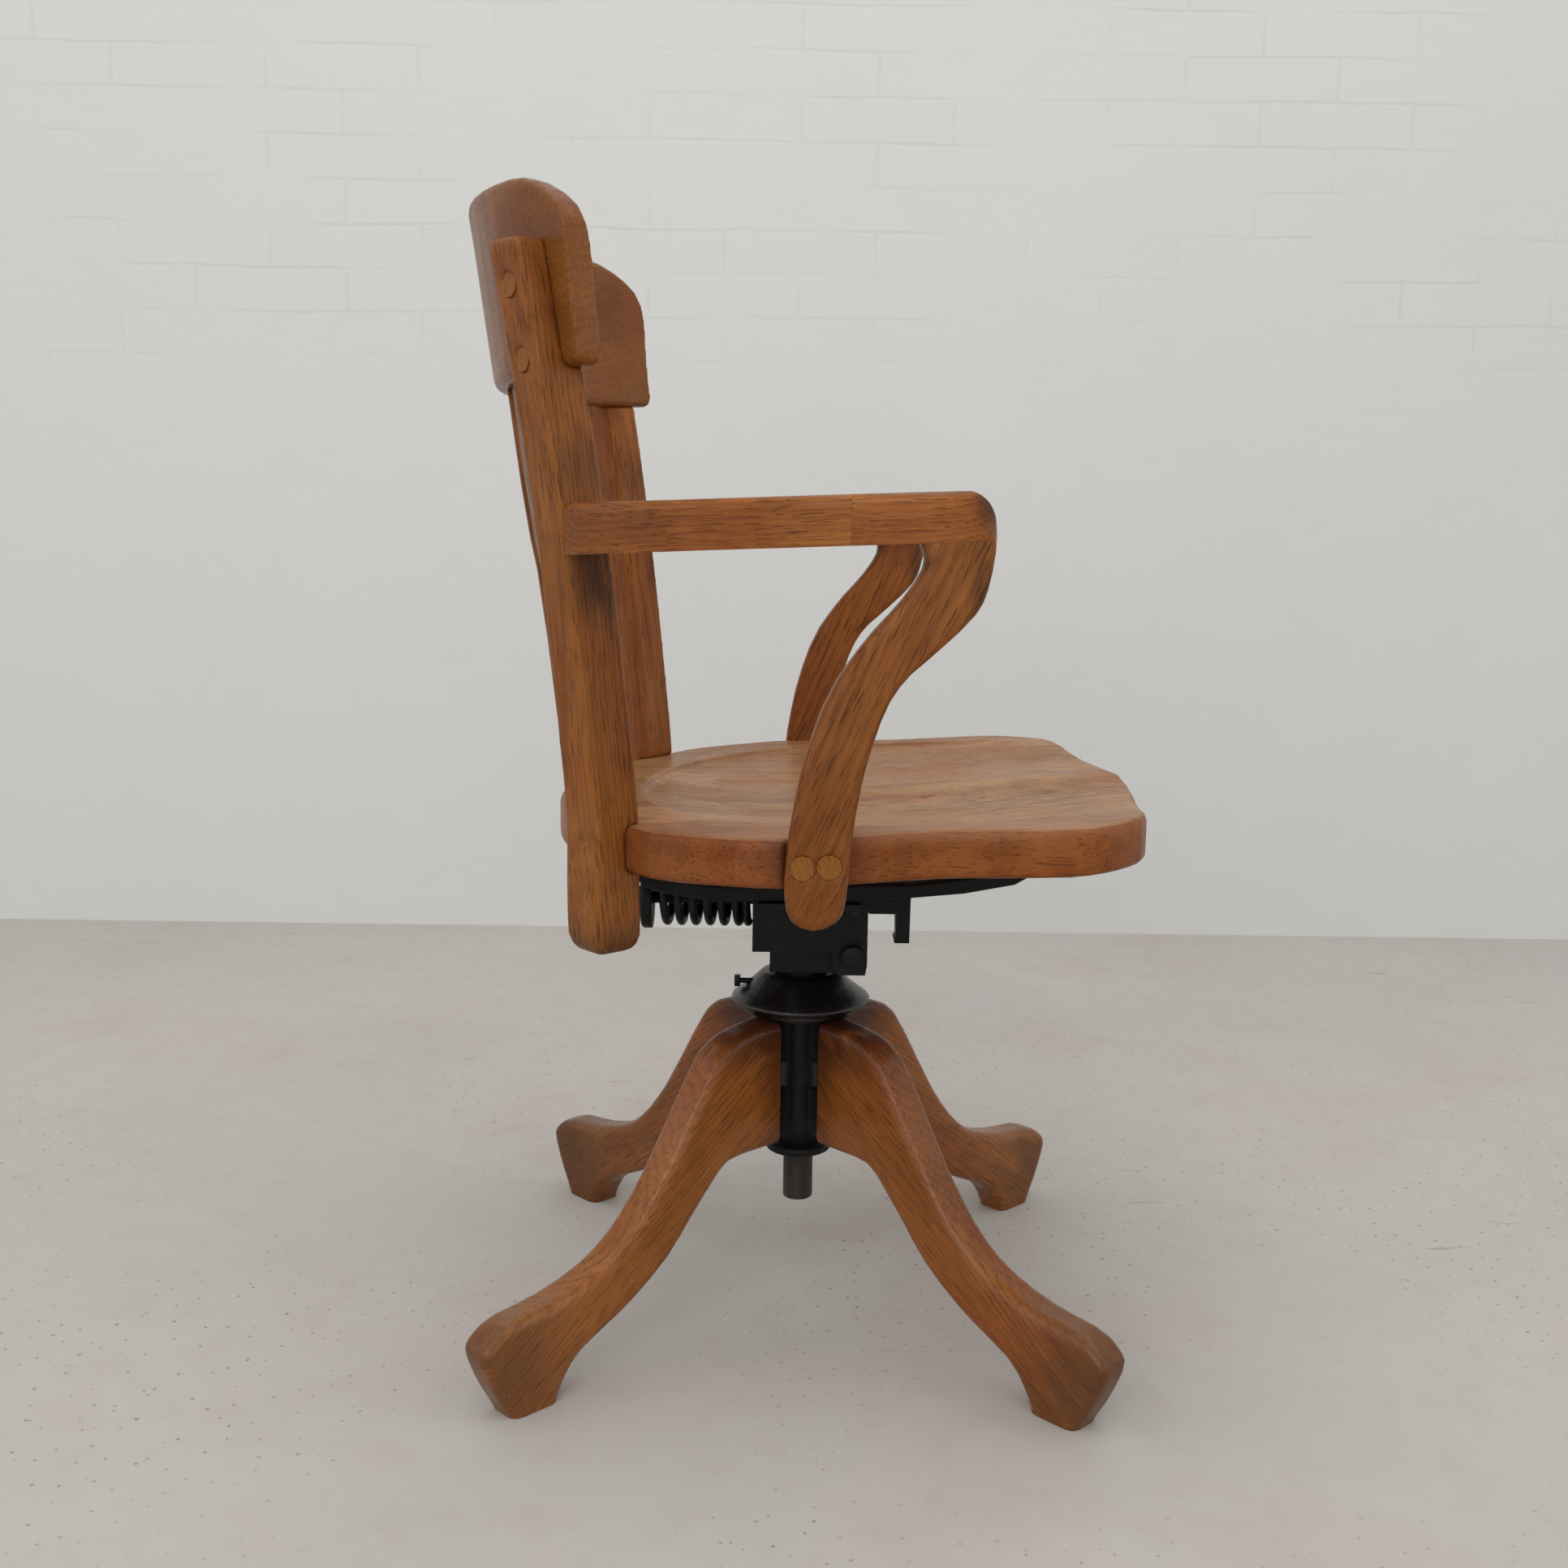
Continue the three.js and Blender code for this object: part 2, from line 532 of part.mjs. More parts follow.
// Seat irons, bolted to the yoke and screwed to the seat
function seatUnderside(y) {
  return seat.topAtAxis - seat.thickness + seat.slope * y;
}

const screwBore = seatScrew.radius + fitGap;
const sides = [{ name: 'left', sign: 1 }, { name: 'right', sign: -1 }];
sides.forEach(({ name, sign }) => {
  const centre = sign * iron.x;
  const bar = sidePlate(ironOutline, centre - iron.width / 2, centre + iron.width / 2, iron.rounding);
  const boltHoles = ironBolt.ys.map((y) => (
    rodAlong(zAxis, boltBore, yoke.plateTop - overrun, ironBolt.top + fitGap, 12).translate(centre, y, 0)
  ));
  const padHoles = seatScrew.ys.map((y) => {
    const bottom = seatUnderside(y) - 2 * seatScrew.headDepth;
    return rodAlong(zAxis, screwBore, bottom, seatUnderside(y) + overrun, 12).translate(centre, y, 0);
  });
  add(`seat_iron_${name}`, cut(bar, ...boltHoles, ...padHoles), castIron);
  ['front', 'rear'].forEach((place, i) => {
    const y = ironBolt.ys[i];
    const boltHead = rodAlong(zAxis, ironBolt.head, ironBolt.headBottom, yoke.plateBottom - glueGap, 6);
    const boltShank = rodAlong(zAxis, ironBolt.radius, ironBolt.headBottom + bite, ironBolt.top, 12);
    add(`iron_bolt_${place}_${name}`, joined(boltHead, boltShank).translate(centre, y, 0), blackSteel);
    const screwY = seatScrew.ys[i];
    const headTop = seatUnderside(screwY) - seatScrew.headDepth;
    const screwHead = rodAlong(zAxis, seatScrew.head, headTop - seatScrew.headHeight, headTop, 12);
    const screwShank = rodAlong(zAxis, seatScrew.radius, headTop - bite, headTop + seatScrew.reach, 12);
    add(`seat_screw_${place}_${name}`, joined(screwHead, screwShank).translate(centre, screwY, 0), bareSteel);
  });
});

// Seat board
function smoothStep(from, to, value) {
  const share = THREE.MathUtils.clamp((value - from) / (to - from), 0, 1);
  return share * share * (3 - 2 * share);
}

function seatTop(x, y) {
  const plane = seat.topAtAxis + seat.slope * y;
  const reachY = Math.max(y - saddle.centreY, 0) / saddle.rearLength;
  const reach = Math.hypot(x / saddle.halfWidth, reachY);
  const frontShare = smoothStep(saddle.fadeStart, saddle.fadeEnd, y);
  const depth = THREE.MathUtils.lerp(saddle.depth, saddle.frontDepth, frontShare);
  const hollow = depth * smoothStep(1, saddle.flatShare, reach);
  const frontFall = 1 - ridge.frontFall * smoothStep(ridge.peak, ridge.end, y);
  const rise = ridge.height * smoothStep(ridge.start, ridge.peak, y) * frontFall;
  return plane - hollow + rise * Math.exp(-((x / ridge.width) ** 2));
}

function seatOutline() {
  const half = new THREE.SplineCurve(vectors(seatHalfWidths)).getPoints(30);
  const corner = new THREE.Vector2(...seatCorner);
  half.push(corner);
  const arcStart = Math.atan2(seatCorner[0], seatCorner[1] - seat.rearArcY);
  const arcSteps = 12;
  for (let i = 1; i <= arcSteps; i += 1) {
    const angle = arcStart * (1 - i / arcSteps);
    const x = seat.rearArcRadius * Math.sin(angle);
    half.push(new THREE.Vector2(x, seat.rearArcY + seat.rearArcRadius * Math.cos(angle)));
  }
  const other = half.slice(1, -1).reverse().map((point) => new THREE.Vector2(-point.x, point.y));
  return [...half, ...other];
}

// The board grown by a margin on every face: zero for the board, a clearance for a tool that cuts its place
function seatBoard(margin) {
  const outline = seatOutline();
  const centre = new THREE.Vector2(0, seatCentreY);
  const level = (share, height) => outline.map((point) => {
    const away = point.clone().sub(centre);
    const grown = centre.clone().addScaledVector(away, share + margin / away.length());
    return new THREE.Vector3(grown.x, grown.y, height(grown.x, grown.y));
  });
  const under = ([share, lift]) => level(share, (x, y) => seatUnderside(y) - margin + lift * seat.edge);
  const over = ([share, drop]) => level(share, (x, y) => seatTop(x, y) + margin - drop * seat.edge);
  return loft([...seatUnderRings.map(under), ...[...seatEdgeRings, ...seatTopRings].map(over)]);
}

const supportInner = support.outer - support.thickness;
const seatHalfWidth = Math.max(...seatHalfWidths.map(([x]) => x));
const recesses = [-1, 1].map((side) => {
  const ends = [side * (supportInner - fitGap), side * (Math.max(seatHalfWidth, support.outer) + overrun)];
  const low = seatUnderside(0) - seat.thickness;
  const high = seat.topAtAxis + seat.thickness;
  return block(Math.min(...ends), Math.max(...ends), seatRecess.front, seatRecess.rear, low, high);
});
const seatHoles = [-1, 1].flatMap((side) => seatScrew.ys.map((y) => {
  const top = seatUnderside(y) - seatScrew.headDepth + seatScrew.reach + fitGap;
  return rodAlong(zAxis, screwBore, seatUnderside(y) - overrun, top, 12).translate(side * iron.x, y, 0);
}));
add('seat_board', cut(seatBoard(0), ...recesses, ...seatHoles), wornOak);

// Crest rail
function crestPoint(arc, z, depth) {
  const radius = crest.frontRadius + crest.radiusGrowth * (z - crest.baseZ);
  const centreY = crest.backY + crest.lean * (z - crest.baseZ) - crest.thickness - radius;
  const angle = arc / crest.arcScale;
  const reach = radius + depth;
  return new THREE.Vector3(reach * Math.sin(angle), centreY + reach * Math.cos(angle), z);
}

function crestTop(arc) {
  const away = Math.abs(arc);
  if (away <= crest.shoulderArc) {
    return crest.topMiddle - (crest.topMiddle - crest.shoulderTop) * (away / crest.shoulderArc) ** 2;
  }
  const share = Math.min((away - crest.shoulderArc) / crest.shoulderReach, 1);
  return crest.shoulderTop - crest.shoulderDrop * (1 - Math.sqrt(1 - share * share));
}

function crestBottom(arc) {
  const away = Math.abs(arc);
  const end = crest.shoulderArc + crest.shoulderReach;
  const straight = crest.bottomMiddle + (crest.bottomEnd - crest.bottomMiddle) * (away / end) ** 2;
  const past = Math.max(away - (end - crest.bottomRadius), 0);
  return straight + crest.bottomRadius - Math.sqrt(Math.max(crest.bottomRadius ** 2 - past * past, 0));
}

function crestRail(margin) {
  const arcs = [];
  const flatSteps = 7;
  const cornerSteps = 6;
  for (let i = 0; i < flatSteps; i += 1) arcs.push(crest.shoulderArc * i / flatSteps);
  for (let i = 0; i <= cornerSteps; i += 1) {
    arcs.push(crest.shoulderArc + crest.shoulderReach * Math.sin(quarterTurn * i / cornerSteps));
  }
  const stations = [...arcs.slice(1).reverse().map((arc) => -arc), ...arcs];
  return loft(stations.map((arc) => {
    const bottom = crestBottom(arc) - margin;
    const top = crestTop(arc) + margin;
    const thickness = crest.thickness + 2 * margin;
    const end = crest.shoulderArc + crest.shoulderReach;
    const grownArc = arc + Math.sign(arc) * margin * Math.abs(arc) / end;
    return roundedRectangle(thickness, top - bottom, crest.rounding).map(([across1, up]) => (
      crestPoint(grownArc, (top + bottom) / 2 + up, crest.thickness / 2 + across1)
    ));
  }));
}

add('crest_rail', crestRail(0), oak);

// Posts
const postFront = new THREE.Vector3(-Math.sin(post.turn), -Math.cos(post.turn), 0);
const postOuter = new THREE.Vector3(Math.cos(post.turn), -Math.sin(post.turn), 0);

// Extra width and depth of a post near its lower end
function postFlare(z) {
  const share = (post.flareTop - z) / (post.flareTop - postArris[0][2]);
  return post.flare * THREE.MathUtils.clamp(share, 0, 1);
}

function postPath() {
  const arris = new THREE.CatmullRomCurve3(postArris.map(([x, y, z]) => new THREE.Vector3(x, y, z)));
  return arris.getPoints(post.stations).map((point) => {
    const flare = postFlare(point.z);
    const centre = point.clone().addScaledVector(postOuter, -(post.width + flare) / 2);
    return centre.addScaledVector(postFront, -(post.depth + flare) / 2);
  });
}

function postCentre(path, z) {
  const next = Math.max(path.findIndex((point) => point.z >= z), 1);
  const [from, to] = [path[next - 1], path[next]];
  return from.clone().lerp(to, (z - from.z) / (to.z - from.z));
}

function postBody(margin) {
  const path = postPath();
  const bottomZ = path[0].z;
  const topZ = path[path.length - 1].z;
  const rounded = (z) => {
    const low = Math.min((z - bottomZ) / postEnds.bottomRound, 1);
    const high = Math.min((topZ - z) / postEnds.topRound, 1);
    const lowScale = postEnds.bottomScale + (1 - postEnds.bottomScale) * Math.sqrt(1 - (1 - low) ** 2);
    return lowScale * (postEnds.topScale + (1 - postEnds.topScale) * Math.sqrt(1 - (1 - high) ** 2));
  };
  const extras = postEnds.steps.flatMap((share) => [
    bottomZ + share * postEnds.bottomRound, topZ - share * postEnds.topRound,
  ]);
  const levels = [...path.map((point) => point.z), ...extras].sort((a, b) => a - b);
  return loft(levels.map((z) => {
    const centre = postCentre(path, z);
    const scale = margin > 0 ? 1 : rounded(z);
    const grown = postFlare(z) + 2 * margin;
    const section = roundedRectangle(post.width + grown, post.depth + grown, post.rounding);
    return section.map(([a, b]) => (
      centre.clone().addScaledVector(postOuter, a * scale).addScaledVector(postFront, b * scale)
    ));
  }));
}

function postBackPlace(z) {
  return postCentre(postPath(), z).addScaledVector(postFront, -(post.depth + postFlare(z)) / 2);
}

const postBack = postFront.clone().negate();
const plugHoles = postPlugHeights.map((z) => {
  const hole = rodAlong(postBack, plug.radius + glueGap, -plug.depth, plug.depth, 20);
  return hole.translate(...postBackPlace(z).toArray());
});
const postShape = cut(postBody(0), crestRail(fitGap), seatBoard(fitGap), ...plugHoles);
add('back_post_left', postShape, oak);
add('back_post_right', mirrored(postShape), oak);

postPlugHeights.forEach((z, i) => {
  const pin = rodAlong(postBack, plug.radius, glueGap - plug.depth, plugProud, 20);
  pin.translate(...postBackPlace(z).toArray());
  const level = i === 0 ? 'lower' : 'upper';
  add(`post_plug_${level}_left`, pin, plugOak);
  add(`post_plug_${level}_right`, mirrored(pin), plugOak);
});

// Back slats
const slatCurve = new THREE.SplineCurve(vectors(slatBack));
for (let i = 0; i < slat.count; i += 1) {
  const place = i - (slat.count - 1) / 2;
  const section = roundedRectangle(slat.width, slat.thickness, slat.rounding, 2);
  const rings = slatCurve.getPoints(slat.stations).map((back, station) => {
    const share = station / slat.stations;
    const radius = THREE.MathUtils.lerp(slatRadius.bottom, slatRadius.top, share);
    const pitch = THREE.MathUtils.lerp(slat.bottomPitch, slat.topPitch, share);
    const angle = place * pitch / radius;
    const middle = radius - slat.thickness / 2;
    const centreY = back.x - radius;
    return section.map(([a, b]) => {
      const reach = middle + b;
      const x = reach * Math.sin(angle) + a * Math.cos(angle);
      const y = centreY + reach * Math.cos(angle) - a * Math.sin(angle);
      let z = back.y;
      if (station === 0) z = seat.topAtAxis + seat.slope * y + fitGap;
      if (station === slat.stations) z = crestBottom(place * slat.topPitch) - fitGap;
      return new THREE.Vector3(x, y, z);
    });
  });
  add(`back_slat_${i + 1}`, loft(rings), oak);
}

// Arms: a bent slab that slopes up to the front, cut flat below and cut to the post, in two glued pieces
const postTool = postBody(fitGap);
const armTilt = Math.atan(arm.slope);
const armUnderTilt = Math.atan(arm.underSlope);

function armSlab() {
  const shape = new THREE.Shape();
  shape.moveTo(...armPlan[0]);
  shape.splineThru(vectors(armPlan.slice(1)));
  shape.lineTo(...armHeel);
  shape.closePath();
  const thickness = 2 * (arm.topAtAxis - arm.underAtAxis);
  const thick = slab(shape, thickness, arm.rounding).translate(0, 0, -thickness / 2);
  thick.rotateX(-armTilt).translate(0, 0, arm.topAtAxis);
  const up = [0, Math.sin(armUnderTilt), Math.cos(armUnderTilt)];
  const board = trimmed(thick, up, arm.underAtAxis * Math.cos(armUnderTilt));
  const noseTop = arm.topAtAxis - arm.slope * arm.noseY;
  const inner = Math.min(...armPlan.map(([x]) => x)) - overrun;
  const outer = Math.max(...armPlan.map(([x]) => x)) + overrun;
  const corner = block(
    inner, outer, arm.noseY - arm.noseRadius, arm.noseY + arm.noseRadius,
    noseTop - arm.noseRadius, noseTop + arm.noseRadius,
  );
  const roundEnd = rodAlong(xAxis, arm.noseRadius, inner - overrun, outer + overrun, 40);
  roundEnd.translate(0, arm.noseY + arm.noseRadius, noseTop - arm.noseRadius);
  return cut(board, postTool, cut(corner, roundEnd));
}

const armShape = armSlab();
const armRear = trimmed(armShape, [0, 1, 0], arm.jointY + glueGap / 2);
const armFront = trimmed(armShape, [0, -1, 0], -arm.jointY + glueGap / 2);
add('armrest_left', armRear, oak);
add('armrest_right', mirrored(armRear), oak);
add('armrest_front_left', armFront, darkOak);
add('armrest_front_right', mirrored(armFront), darkOak);

// Arm supports, trimmed to the underside of the arm
function supportBody() {
  const shape = new THREE.Shape();
  const toSide = ([reach, z]) => [-reach, z];
  const front = supportFront.map(toSide);
  const rear = supportRear.map(toSide);
  shape.moveTo(...front[0]);
  shape.splineThru(vectors([...front.slice(1), ...rear]));
  shape.closePath();
  const bar = slab(shape, support.thickness, support.rounding).applyMatrix4(sideView);
  bar.translate(support.outer - support.thickness / 2, 0, 0);
  const down = [0, -Math.sin(armUnderTilt), -Math.cos(armUnderTilt)];
  const top = trimmed(bar, down, (glueGap - arm.underAtAxis) * Math.cos(armUnderTilt));
  const holes = supportPlugs.map(([reach, z]) => {
    const ends = [support.outer - plug.depth, support.outer + overrun];
    return rodAlong(xAxis, plug.radius + glueGap, ...ends, 20).translate(0, -reach, z);
  });
  return cut(top, ...holes);
}

const supportShape = supportBody();
add('arm_support_left', supportShape, oak);
add('arm_support_right', mirrored(supportShape), oak);
supportPlugs.forEach(([reach, z], i) => {
  const start = support.outer - plug.depth + glueGap;
  const pin = rodAlong(xAxis, plug.radius, start, support.outer + plugProud, 20).translate(0, -reach, z);
  const place = i === 0 ? 'rear' : 'front';
  add(`support_plug_${place}_left`, pin, plugOak);
  add(`support_plug_${place}_right`, mirrored(pin), plugOak);
});

const chair = new THREE.Group();
chair.name = 'swivel_desk_chair';
chair.add(...nodes);
export default chair;
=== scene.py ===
# %% [markdown]
# # A bankers swivel chair
# The chair is oak on a black iron mechanism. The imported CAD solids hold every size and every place,
# so this script only gives each piece its finer form and its finish.
# It starts by loading them as a fixed frame, in metres: z is up, the chair faces -y, +x is the sitter's left.

import json
import math

import bmesh
import bpy
from mathutils import Matrix, Vector


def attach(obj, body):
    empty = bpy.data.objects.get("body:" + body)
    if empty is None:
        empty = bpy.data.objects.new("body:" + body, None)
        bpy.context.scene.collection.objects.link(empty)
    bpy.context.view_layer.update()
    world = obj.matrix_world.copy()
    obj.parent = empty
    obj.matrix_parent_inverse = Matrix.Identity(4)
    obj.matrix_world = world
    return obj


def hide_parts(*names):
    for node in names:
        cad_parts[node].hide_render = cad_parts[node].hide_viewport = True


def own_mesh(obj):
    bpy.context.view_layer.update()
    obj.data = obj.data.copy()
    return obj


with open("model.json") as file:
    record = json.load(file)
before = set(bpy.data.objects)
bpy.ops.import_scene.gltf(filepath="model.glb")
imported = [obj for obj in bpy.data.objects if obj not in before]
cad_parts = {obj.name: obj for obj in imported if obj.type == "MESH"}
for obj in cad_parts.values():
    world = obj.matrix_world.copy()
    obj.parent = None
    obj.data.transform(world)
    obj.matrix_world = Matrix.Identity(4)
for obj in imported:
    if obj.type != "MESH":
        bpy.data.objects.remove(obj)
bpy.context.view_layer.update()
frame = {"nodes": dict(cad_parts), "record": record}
body_of = {node: body for body, nodes in frame["record"]["behaviour"]["bodies"].items() for node in nodes}
SIDES = ("left", "right")
MM = 0.001
print("pieces in the frame:", len(body_of))


# %% [markdown]
# ## Shader maths
# A finish is built from many small sums. Wrapping a socket in a class lets the sums be written as
# Python expressions, and each expression adds its own Math node.

# %% Sockets that can be added and multiplied
class Wire:
    """A socket in a finish, which sums and products may hold like a number."""

    def __init__(self, finish, socket):
        self.finish = finish
        self.socket = socket

    def math(self, operation, first, second=None):
        inputs = {0: first} if second is None else {0: first, 1: second}
        return self.finish.node("ShaderNodeMath", {"operation": operation}, inputs)

    def __add__(self, other):
        return self.math("ADD", self, other)

    def __radd__(self, other):
        return self.math("ADD", other, self)

    def __sub__(self, other):
        return self.math("SUBTRACT", self, other)

    def __rsub__(self, other):
        return self.math("SUBTRACT", other, self)

    def __mul__(self, other):
        return self.math("MULTIPLY", self, other)

    def __rmul__(self, other):
        return self.math("MULTIPLY", other, self)

    def __truediv__(self, other):
        return self.math("DIVIDE", self, other)

    def of(self, operation):
        return self.math(operation, self)


# %% A finish and the steps that all finishes share
CORE_SHARE = 0.15


class Finish:
    """A material and the steps that its finishes share; place is where a point lies on the chair."""

    def __init__(self, name):
        self.material = bpy.data.materials.new(name)
        self.material.use_nodes = True
        self.tree = self.material.node_tree
        self.tree.nodes.clear()
        self.place = self.node("ShaderNodeTexCoord", {}, {}, "Object")

    def node(self, kind, settings, inputs, output=0):
        node = self.tree.nodes.new(kind)
        for name, value in settings.items():
            setattr(node, name, value)
        for key, value in inputs.items():
            if isinstance(value, Wire):
                self.tree.links.new(value.socket, node.inputs[key])
            else:
                node.inputs[key].default_value = value
        return Wire(self, node.outputs[output]) if node.outputs else None

    def noise(self, vector, scale, detail=3.0, roughness=0.55):
        inputs = {"Vector": vector, "Scale": scale, "Detail": detail, "Roughness": roughness}
        return self.node("ShaderNodeTexNoise", {}, inputs)

    def drawn(self, vector, stretch, scale, detail=3.0, roughness=0.55):
        """Noise drawn out along z, which is the grain's direction: the smaller the stretch, the longer."""
        return self.noise(self.mapped(vector, scale=(1, 1, stretch)), scale, detail, roughness)

    def mapped(self, vector, scale=(1, 1, 1), rotation=(0, 0, 0), location=(0, 0, 0)):
        inputs = {"Vector": vector, "Scale": scale, "Rotation": rotation, "Location": location}
        return self.node("ShaderNodeMapping", {}, inputs)

    def ramp(self, value, low, high):
        """0 at the low value, 1 at the high one and an even bend between them."""
        settings = {"interpolation_type": "SMOOTHSTEP"}
        inputs = {"Value": value, "From Min": low, "From Max": high}
        return self.node("ShaderNodeMapRange", settings, inputs)

    def mix(self, share, first, second):
        """The first colour where the share is 0 and the second where it is 1."""
        inputs = {0: share, 6: first, 7: second}
        return self.node("ShaderNodeMix", {"data_type": "RGBA"}, inputs, 2)

    def tint(self, colour, share, amount):
        """A colour multiplied by another one, as far as the share says."""
        inputs = {0: share, 6: colour, 7: amount}
        return self.node("ShaderNodeMix", {"data_type": "RGBA", "blend_type": "MULTIPLY"}, inputs, 2)

    def axis(self, vector, letter):
        return self.node("ShaderNodeSeparateXYZ", {}, {0: vector}, "XYZ".index(letter))

    def near(self, centre, reach):
        """1 in the core round a centre, falling to 0 on an ellipsoid of the given reach."""
        scale = [1 / r for r in reach]
        away = self.mapped(self.place, scale, location=[-c * s for c, s in zip(centre, scale)])
        length = self.node("ShaderNodeVectorMath", {"operation": "LENGTH"}, {0: away}, "Value")
        return self.ramp(length, 1.0, CORE_SHARE)

    def surface(self, colour, roughness, bumps, **fixed):
        """Closes the finish: bumps is a list of heights and their depths in metres."""
        normal = None
        for height, depth in bumps:
            inputs = {"Strength": 1.0, "Distance": depth, "Height": height}
            if normal is not None:
                inputs["Normal"] = normal
            normal = self.node("ShaderNodeBump", {}, inputs)
        inputs = {"Base Color": colour, "Roughness": roughness, "Normal": normal}
        inputs.update({name.replace("_", " "): value for name, value in fixed.items()})
        shader = self.node("ShaderNodeBsdfPrincipled", {}, inputs)
        self.node("ShaderNodeOutputMaterial", {}, {"Surface": shader})
        print(f"{self.material.name}: {len(self.tree.nodes)} nodes")
        return self.material


# %% [markdown]
# ## Oak
# Some stains are painted shade, and some worn places carry painted light and painted sheen.
# A board is cut from a tree whose rings are cylinders round its heart. The finish therefore measures the
# distance from a heart line that runs along the grain, beside the board: flat faces then show arched figure
# and edges show straight lines, as on real wood. Oak also has long dark pores, so a noise stretched along
# the grain is cut to thin dashes. Stains, handled edges and dull patches are laid over that.
# A picture of wood would be quicker, but it would stretch on the curved pieces and break at their edges.

# %% Oak's tones
OAK = {
    "light": (0.290, 0.104, 0.022, 1),
    "mid": (0.202, 0.062, 0.0115, 1),
    "deep": (0.098, 0.026, 0.0048, 1),
    "pore": (0.042, 0.012, 0.0040, 1),
}
MOTTLED = (0.74, 0.68, 0.62, 1)
REDDISH = (1.02, 0.70, 0.66, 1)
DARK_STRIP, PALE_STRIP = (0.76, 0.68, 0.58, 1), (1.14, 1.12, 1.04, 1)
SEAM = (0.45, 0.32, 0.24, 1)
RIM_PORE = (0.45, 0.36, 0.30, 1)
# Dirt on upright edges, also used as painted shade on the rounding between top and side.
RIM_DIRT_AND_SHADE = (0.62, 0.50, 0.42, 1)
RIM_PALE = (1.25, 1.30, 1.10, 1)
print("oak tones:", ", ".join(OAK))


# %% The grain's direction
def grain_turn(along, face):
    """Euler angles that turn the grain's direction onto z and the board's face normal onto y."""
    grain = Vector(along).normalized()
    across = Vector(face).cross(grain).normalized()
    normal = grain.cross(across)
    return Matrix((across, normal, grain)).to_euler("XYZ")


seat_turn = grain_turn((0, 1, 0), (0, 0, 1))
print("grain front to back turns by", [round(math.degrees(angle)) for angle in seat_turn])

# %% The oak finish
STRIP_OFFSET = 100.5
STRIP_SHIFT = (0.05, 0.03)
WANDER_REACH = 26 * MM


